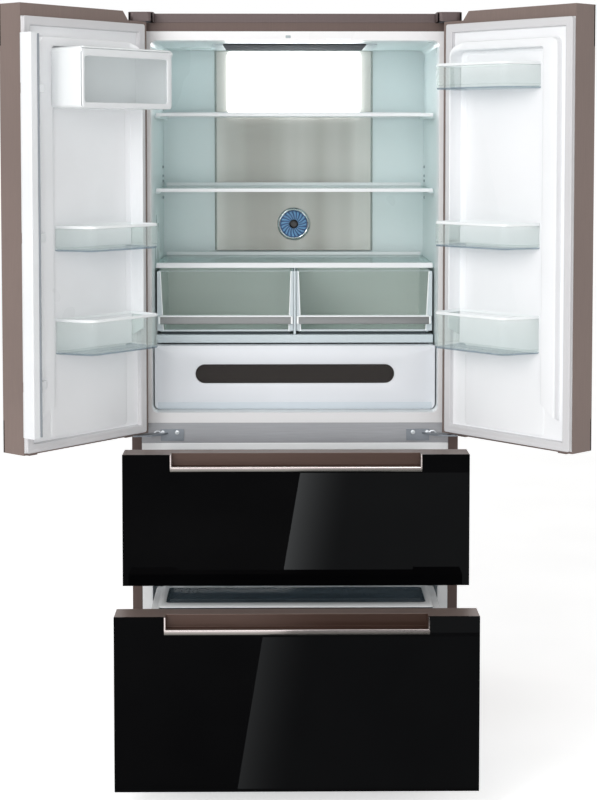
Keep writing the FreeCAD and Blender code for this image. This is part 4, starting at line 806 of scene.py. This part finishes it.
def crisper(side, name):
    x, y, (low, high) = span(name)
    front_y = CRISPER_FRONT
    inner, outer = (x[1], x[0]) if side < 0 else (x[0], x[1])
    shape = Shape()
    corners = corners_of(x, (front_y + 0.5, y[1]))
    profile = [
        (10, low), (6, low + 0.2), (4.2, low + 2.5), (0.4, high - 10), (0, high - 9), (0, high - 1), (0.6, high),
        (3.0, high), (3.4, high - 1), (3.2, high - 10), (6.8, low + 6), (9, low + 3),
    ]
    strips = [0] * 5 + [1] * 3 + [0] * 3
    shape.loft(stack(corners, [3, 3, 10, 10], profile, flat), strips, first=True, last=True)
    shape.repaint(0, 4, lambda middle: middle.y > front_y + 9)
    # A dark strip along the front's foot stands in for the shadow in the gap under the crisper: painted shadow
    foot = corners_of((x[0] + 9, x[1] - 9), (low + 0.2, low + 5.6))
    shape.prism(foot, front, front_y + 1.0, front_y + 6.0, 5, 0.5)
    # Pale wedges at both ends of the front, wider at the foot, and a white line along each
    for edge, way, top, foot in ((inner, side, 4.0, 10.0), (outer + side * 2.6, -side, 7.0, 15.0)):
        head, heel = edge + way * top, edge + way * foot
        wedge = [(edge, high - 1), (head, high - 1), (heel, low + 8), (edge, low + 8)]
        line = [(head, high - 1), (head + way * 3, high - 1), (heel + way * 3, low + 8), (heel, low + 8)]
        for outline, rise, paint in ((wedge, 2.6, 1), (line, 3.4, 3)):
            if way > 0:
                outline.reverse()
            shape.prism(outline, front, front_y - rise, front_y + 1.5, paint, 0.5)
    strip = corners_of((x[0] + 5, x[1] - 5), (low + 7, low + 12))
    shape.prism(strip, front, front_y - 3.0, front_y + 1.5, 1, 0.6)
    # Bar: a rolled lip hollowed from below
    bar = [
        (front_y - 13, 1070), (front_y - 10.6, 1069), (front_y - 10.2, 1086), (front_y, 1087.4), (front_y, 1090),
        (front_y - 9, 1090), (front_y - 12, 1088.6), (front_y - 13, 1086),
    ]
    shape.prism(bar, sideways, x[0] + 6, x[1] - 6, 2, 0.5)
    # A white strip along the bar's top is a painted highlight
    edge = [
        (front_y - 12.6, 1088.2), (front_y - 1, 1090.1), (front_y - 1, 1092.4), (front_y - 9, 1092.4),
        (front_y - 12.2, 1090.8),
    ]
    shape.prism(edge, sideways, x[0] + 6, x[1] - 6, 3, 0.4)
    for start in (x[0] + 1.0, x[1] - 6.5):
        shape.prism(bar, sideways, start, start + 5.5, 3, 0.5)
    paints = ["crisper_clear", "crisper_rim", "bar_satin", "rim_white", "crisper_frost", "foot_dark"]
    piece(f"{name}_tub", shape, CABINET, f"{name}_body", paints, (name,))


def crisper_post():
    """Front edge of the wall between the crispers."""
    shape = Shape()
    outline = [(-3.3, 111.0), (-2.0, 109.4), (2.0, 109.4), (3.3, 111.0), (3.3, 128.0), (-3.3, 128.0)]
    shape.prism(outline, flat, 1042.2, 1208.0, soft=0.6)
    piece("crisper_parting", shape, CABINET, "cabinet", "cover_cool", ())


def wide_drawer():
    x, y, (low, high) = span("chiller_drawer")
    f = y[0]
    shape = Shape()
    outer = corners_of(x, (low, high + 1.0))
    pill = corners_of(WINDOW_X, WINDOW_Z)
    # Front skin with the window's rolled edge
    face = stack(outer, [16, 16, 3, 3], [(0, f + 9.9), (0, f + 2.4), (0.6, f + 0.7), (2.2, f)], front, 8)
    hole = stack(pill, WINDOW_ROUND, [(-4.0, f), (-1.4, f + 0.5), (0, f + 2.0), (0, f + 9.5)], front, 8)
    shape.loft(face + hole)
    shape.loft([face[0], hole[-1]])
    # Finger lip along the foot: a long shallow channel with a rounded lower edge, painted a cooler grey that stands in
    # for its shade, which is painted shade
    lip = [
        (f - 1.2, 869), (f - 2.3, 860), (f - 1.9, 857), (f - 0.2, 855.5), (f + 1.5, 857), (f + 1.5, 873),
        (f - 0.9, 873),
    ]
    shape.prism(lip, sideways, x[0] + 9, x[1] - 9, 1, 0.8)
    # Ledge behind the top of the face
    ledge = [(f + 9, high - 6), (f + 52, high - 5), (f + 54, high - 3), (f + 52, high - 1.2), (f + 9, high - 1.2)]
    shape.prism(ledge, sideways, x[0] + 3, x[1] - 3, soft=0.6)
    # Tray behind it
    corners = corners_of((x[0] + 13, x[1] - 13), (f + 10, y[1]))
    tray(shape, corners, [3, 3, 12, 12], low + 0.5, 1006, wall=3.0, rim=6.0, steps=4, foot=2, side=2, edge=2)
    paints = ["drawer_white", "lip_cool", "tray_grey"]
    piece("wide_drawer_tub", shape, CABINET, "wide_drawer", paints, ("chiller_drawer",))
    window = Shape()
    steps = [(1.0, f + 3.4), (0.2, f + 4.2), (0.2, f + 6.4), (1.0, f + 7.0)]
    window.loft(stack(pill, WINDOW_ROUND, steps, front, 8), first=True, last=True)
    piece("wide_drawer_pane", window, CABINET, "wide_drawer", "smoked_window", ("chiller_window",))


def air_filter():
    shape = Shape()
    ring = [
        (46, 0), (46, -5), (45.2, -7.6), (43, -9.4), (40.6, -10), (38.4, -9.2), (37.2, -7.2), (36.8, -4.5),
        (36.4, 0),
    ]
    shape.lathe(ring, FILTER, 64)
    dish = [(36.6, -1.0), (30, -2.4), (18, -3.2), (11.5, -3.0)]
    shape.lathe(dish, FILTER, 64, 1)
    # Raised blades round the dish: radius, half width as an angle, and lift
    blade = ((12.5, 0.07, 4.4), (17, 0.085, 5.6), (24, 0.095, 6.2), (31, 0.1, 5.8), (35.2, 0.085, 4.2))
    across = ((-1, 0.0), (-0.6, 1.0), (0.1, 1.25), (0.7, 0.8), (1, 0.0))
    for k in range(FILTER_BLADES):
        rings = []
        for radius, wide, lift in blade:
            lean = math.tau * k / FILTER_BLADES + (radius - 12) * 0.012
            rings.append([
                around(FILTER, radius, lean + off * wide, -(lift * (0.55 + 0.32 * up) + 1.1)) for off, up in across
            ])
        shape.loft(rings, 2, open_ring=True)
    hub = [(12.6, -2.5), (12.4, -6.6), (11.4, -7.9), (9.8, -8.3), (8.8, -7.2), (8.6, -4.6), (4, -4.2), (0.4, -4.2)]
    shape.lathe(hub, FILTER, 48, 3, last=True)
    paints = ["ring_chrome", "filter_deep", "filter_blue", "filter_dark"]
    piece("round_filter", shape, CABINET, "cabinet", paints, ("air_filter",))


def ceiling_vent():
    x, y, (low, high) = span("ceiling_vent")
    shape = Shape()
    for edge in ((x[0], -VENT_HALF), (VENT_HALF, x[1])):
        shape.block(edge, y, (low, high + 0.2), 0.8, 2)
    pitch = (y[1] - y[0] - 10) / (VENT_SLATS - 1)
    for k in range(VENT_SLATS):
        at = y[0] + k * pitch
        slat = [(at, low), (at + 8.5, low), (at + 10, low + 1.2), (at + 10, high), (at + 3, high), (at, low + 1.4)]
        shape.prism(slat, sideways, -VENT_HALF - 0.5, VENT_HALF + 0.5)
    # A dark plate behind the slats stands in for the shade inside the vent: painted shadow
    back = corners_of((y[0] + 1, y[1] - 1), (high - 0.7, high))
    shape.prism(back, sideways, -VENT_HALF, VENT_HALF, 1)
    paints = ["vent_grey", "vent_dark", "cover_cool"]
    piece("vent_grille", shape, CABINET, "cabinet", paints, ("ceiling_vent",))


def basket(body, matrix, out):
    node = f"{body}_basket"
    x, y, (low, high) = span(node)
    y = (y[0] + out, y[1] + out)
    shape = Shape()
    corners = corners_of((x[0] + BASKET_INSET, x[1] - BASKET_INSET), y)
    profile = [
        (12, low), (6, low), (3, low + 2), (2, low + 8), (0.6, high - 60), (0, high - 59), (0, high - 12),
        (0, high - 10), (0, high - 1.2), (0.9, high), (3.2, high), (4, high - 1.2), (4, high - 11),
        (3.4, high - 58), (5, low + 10), (7, low + 5), (12, low + 3),
    ]
    strips = [0] * 6 + [1] * 6 + [0] * 4
    shape.loft(stack(corners, [6, 6, 22, 22], profile, flat, 5), strips, first=True, last=True)
    # Shoulders along both sides carry the tub on its rails
    for side in (-1, 1):
        edge, inner = x[1] * side, (x[1] - BASKET_INSET - 2) * side
        outline = [
            (inner, high - 10), (edge, high - 10), (edge, high - 3.5), (edge - side * 1.5, high - 1.5),
            (inner, high - 1.5),
        ]
        if side < 0:
            outline.reverse()
        shape.prism(outline, front, y[0] + 14, y[1] - 26, 1, 0.6)
    # Upright ribs on the front and back walls
    run = x[1] - x[0] - 80
    count = int(run / RIB_PITCH)
    for k in range(count + 1):
        at = x[0] + 40 + run * k / count
        for wall in ((y[0] + 2.0, y[0] + 5.8), (y[1] - 3.6, y[1] + 0.4)):
            shape.block((at - 2.5, at + 2.5), wall, (low + 12, high - 62), 0.8)
    piece(f"{body.replace('_drawer', '')}_basket_tub", shape, matrix, body, ["basket_clear", "rim_white"], (node,))


def freezer_tray():
    """Shallow tray with a broad front ledge that hangs on the lower basket's rims."""
    x, y, z = span("lower_drawer_basket")
    top = z[1]
    front_y, rear = TRAY_FRONT + LOWER_OUT, y[1] + LOWER_OUT - 30
    half = x[1] - 19.0
    shape = Shape()
    rim = corners_of((-half, half), (front_y, rear))
    well = corners_of((-half + 14, half - 14), (front_y + 40, rear - 14))
    steps = [(3.0, top + 0.3), (0.6, top + 0.3), (0, top + 1.2), (0.3, top + 2.4), (1.4, top + 3.0)]
    inside = [
        (-1.6, top + 3.0), (-0.3, top + 2.4), (0.2, top + 0.6), (3.0, top - 12), (5.0, top - 14), (30, top - 14.6),
    ]
    below = [(-2.0, top + 0.3), (0.8, top - 14), (30, top - 16.6)]
    shape.loft(stack(rim, 8, steps, flat, 5) + stack(well, 12, inside, flat, 5), [1] * 7 + [0] * 3, last=True)
    shape.loft(stack(rim, 8, steps[:1], flat, 5) + stack(well, 12, below, flat, 5), [1, 0, 0], last=True)
    piece("lower_tray", shape, LOWER, "lower_drawer", ["basket_clear", "rim_white"], ())


def flap_gap_shadow():
    """Grey strip along the flap's far edge, folded away with it; it stands in for the shadow in the gap between the
    flap and the ridge, painted shadow.
    """
    shape = Shape()
    outline = [(399.6, 88.0), (402.6, 87.0), (403.4, 90.8), (402.9, 93.6), (401.6, 94.4), (400.2, 93.6), (399.4, 91.0)]
    shape.prism(outline, flat, 861, 1794, soft=0.3)
    piece("flap_edge_shadow", shape, LEFT, "door_flap", "lip_grey", ())


def drawer_seal(body, matrix, out):
    node = f"{body}_gasket"
    x, y, z = span(node)
    profile = [(by, y[0] + out + level) for by, level in seal_profile(y[1] - y[0])]
    shape = Shape()
    shape.loft(stack(corners_of(x, z), 6, profile, front, 3), closed=True)
    piece(f"{body}_seal", shape, matrix, body, "gasket_grey", (node,))


def screw(shape, place, radius, rise):
    """A domed screw head that faces -Y, with a cross on it."""
    x, y, z = place
    dome = [(radius, 0), (radius, -rise * 0.5), (radius * 0.86, -rise * 0.86), (radius * 0.55, -rise)]
    shape.lathe(dome, place, 20, last=True)
    for wide, tall in ((radius * 0.42, 0.5), (0.5, radius * 0.42)):
        shape.block((x - wide, x + wide), (y - rise - 0.06, y - rise + 0.5), (z - tall, z + tall), 0.1, 1)


def fittings():
    shape = Shape()
    hook = [
        (343, -7, 801.5), (348, -8, 806.5), (355, -9, 807.5), (361, -10, 802), (366, -10, 798.6), (374, -10, 799.6),
        (382, -10, 798.6),
    ]
    for side in (-1, 1):
        for at in (302.0, 339.0):
            screw(shape, (side * at, -4.4, 803.0), 5.6, 3.4)
        shape.tube([(side * x, y, z) for x, y, z in hook], 2.0, 10)
    piece("bracket_screws", shape, CABINET, "cabinet", ["screw_bright", "lug_grey"], ())

    lugs = Shape()
    for side in (-1, 1):
        root, tip = 366.5 * side, 362.6 * side
        for level in (1391.0, 1437.0, 1451.0, 1476.0):
            outline = [(root, level - 4), (tip, level - 3.2), (tip, level + 2.6), (root, level + 4)]
            if side > 0:
                outline.reverse()
            lugs.prism(outline, front, 424.0, 442.0, soft=0.8)
    piece("shelf_lugs", lugs, CABINET, "cabinet", "lug_grey", ())

    strip = Shape()
    strip.prism(rect((-416.4, 416.4), (32.4, 47.0), 1.0, 2), front, 0.4, 3.4, soft=0.4)
    piece("foot_strip", strip, CABINET, "cabinet", "case_metal", ())

    marks = Shape()
    marks.prism(rect((-24, -11), (1808, 1815), 1.6, 3), front, -0.45, 0.4, 0, 0.3)
    marks.prism(rect((78, 142), (1803, 1808), 1.6, 3), front, -0.35, 0.4, 1, 0.25)
    piece("fascia_marks", marks, CABINET, "cabinet", ["lug_grey", "liner_white"], ())


# Studio

FLOOR_HALF = 14.0  # metres
FLOOR_GLOW = 0.55
WORLD_LIGHT = 0.47
# Name, place, what it looks at, width and height in metres, and watts
LAMPS = (
    ("key", (-2.6, -3.6, 3.2), (0, 0, 1.0), (2.4, 2.4), 66),
    ("fill", (2.8, -3.4, 2.2), (0, 0, 1.0), (2.2, 2.6), 7),
    ("front", (-1.5, -4.4, 2.4), (0, 0, 1.1), (3.0, 1.6), 38),
    ("low", (0.0, -3.4, 1.15), (0, 0, 1.25), (1.8, 0.9), 17),
)
# The camera, fitted to the photograph
EYE = (-37.1, -4358.2, 1545.5)
DOWN, ASIDE = 3.276, 0.602  # how far it looks down and to the right, in degrees
FOCAL = 1712.87  # focal length in pixels of a picture PICTURE_HIGH pixels high
PICTURE_HIGH = 800.0
SENSOR = 36.0
CAMERA_SHIFT = -0.2


def area_light(name, place, aim, size, energy):
    data = bpy.data.lights.new(name, "AREA")
    data.shape = "RECTANGLE"
    data.size, data.size_y = size
    data.energy = energy
    lamp = bpy.data.objects.new(name, data)
    lamp.location = place
    lamp.rotation_euler = (Vector(aim) - Vector(place)).to_track_quat("-Z", "Y").to_euler()
    scene.collection.objects.link(lamp)


def stage_piece(name, points, faces, material):
    """A part of the studio, which isn't part of the object."""
    mesh = bpy.data.meshes.new(name)
    mesh.from_pydata(points, [], faces)
    mesh.materials.append(material)
    made = bpy.data.objects.new(name, mesh)
    scene.collection.objects.link(made)
    return made


def seen_rays(t):
    """1 for the rays that show the background: the camera's, and those that gloss and glass pass on."""
    path = t.add("LightPath").outputs
    seen = t.calc("MAXIMUM", path["Is Camera Ray"], path["Is Glossy Ray"])
    return t.calc("MAXIMUM", seen, path["Is Transmission Ray"])


def make_studio():
    t = Tree("floor_pale")
    tint = t.ramp(t.noise(3.0, 2.0), [(0.3, linear(243, 243, 243)), (0.7, linear(250, 250, 250))])
    matte = t.add("BsdfDiffuse", {"Color": tint})
    glow = t.add("Emission", {"Color": (1, 1, 1, 1), "Strength": t.spread(seen_rays(t), 0.0, FLOOR_GLOW)})
    pale = t.finish(t.add("AddShader", {0: matte.outputs[0], 1: glow.outputs[0]}))
    corners = corners_of((-FLOOR_HALF, FLOOR_HALF), (-FLOOR_HALF, FLOOR_HALF))
    stage_piece("floor", [(*corner, 0) for corner in corners], [(0, 1, 2, 3)], pale)

    t = Tree("studio", "World")
    light = t.add("Background", {"Color": (1.0, 0.995, 0.985, 1), "Strength": WORLD_LIGHT})
    shown = t.add("Background", {"Color": (1, 1, 1, 1), "Strength": 1.0})
    scene.world = t.finish(t.add("MixShader", {0: seen_rays(t), 1: light.outputs[0], 2: shown.outputs[0]}))

    for lamp in LAMPS:
        area_light(*lamp)
    make_card("card", -800, (16, 650), (-36, 343), reach=600, fall=150, dim=4.0, bright=29.0)
    make_card("low_card", -620, (-79.5, 386), (-139, 23), reach=580, fall=130, dim=2.2, bright=11.5)


def make_card(name, depth, head, foot, reach, fall, dim, bright):
    """A bright card in front of the drawers, seen only as a mirror-sharp reflection in their glass.

    Its left edge runs from head to foot, given as (x, z). The card is bright there, goes dim over the distance fall
    to the right, and ends at the distance reach.
    """
    t = Tree(name + "_glow")
    place = t.place()
    lean = (head[0] - foot[0]) / (head[1] - foot[1])
    across = t.calc("ADD", place["X"], t.calc("MULTIPLY", place["Z"], -lean))
    start = (head[0] - lean * head[1]) * MM
    fade = t.calc("POWER", t.remap(across, start, start + fall * MM, 1.0, 0.0), 2.0)
    mirror = t.add("LightPath").outputs["Is Singular Ray"]
    glow = t.add("Emission", {
        "Color": (0.94, 0.98, 1.0, 1), "Strength": t.calc("MULTIPLY", t.spread(fade, dim, bright), mirror),
    })
    points = [tuple(cab(x + wide, depth, z)) for x, z in (head, foot) for wide in (0, reach)]
    card = stage_piece(name, points, [(0, 1, 3, 2)], t.finish(glow))
    card.visible_camera = False
    card.visible_diffuse = False
    card.visible_shadow = False
    card.visible_transmission = False


def make_camera():
    data = bpy.data.cameras.new("camera")
    data.sensor_width = SENSOR
    data.lens = FOCAL * SENSOR / PICTURE_HIGH
    data.shift_y = CAMERA_SHIFT
    data.clip_start, data.clip_end = 0.05, 60.0
    camera = bpy.data.objects.new("camera", data)
    camera.location = cab(*EYE)
    camera.rotation_euler = (math.pi / 2 - math.radians(DOWN), 0, -math.radians(ASIDE))
    scene.collection.objects.link(camera)
    scene.camera = camera
    scene.view_settings.view_transform = "Standard"


for side in DOORS:
    door_liner(side)
    door_seal(side)
door_bins(-1, [(1286, 61), (1040, 85)])
door_bins(1, [(1673, 63), (1290, 62), (1039, 91)])
dairy()
crisper(-1, "left_crisper")
crisper(1, "right_crisper")
crisper_post()
wide_drawer()
air_filter()
ceiling_vent()
basket("upper_drawer", UPPER, UPPER_OUT)
basket("lower_drawer", LOWER, LOWER_OUT)
freezer_tray()
flap_gap_shadow()
drawer_seal("upper_drawer", UPPER, UPPER_OUT)
drawer_seal("lower_drawer", LOWER, LOWER_OUT)
fittings()
make_studio()
make_camera()
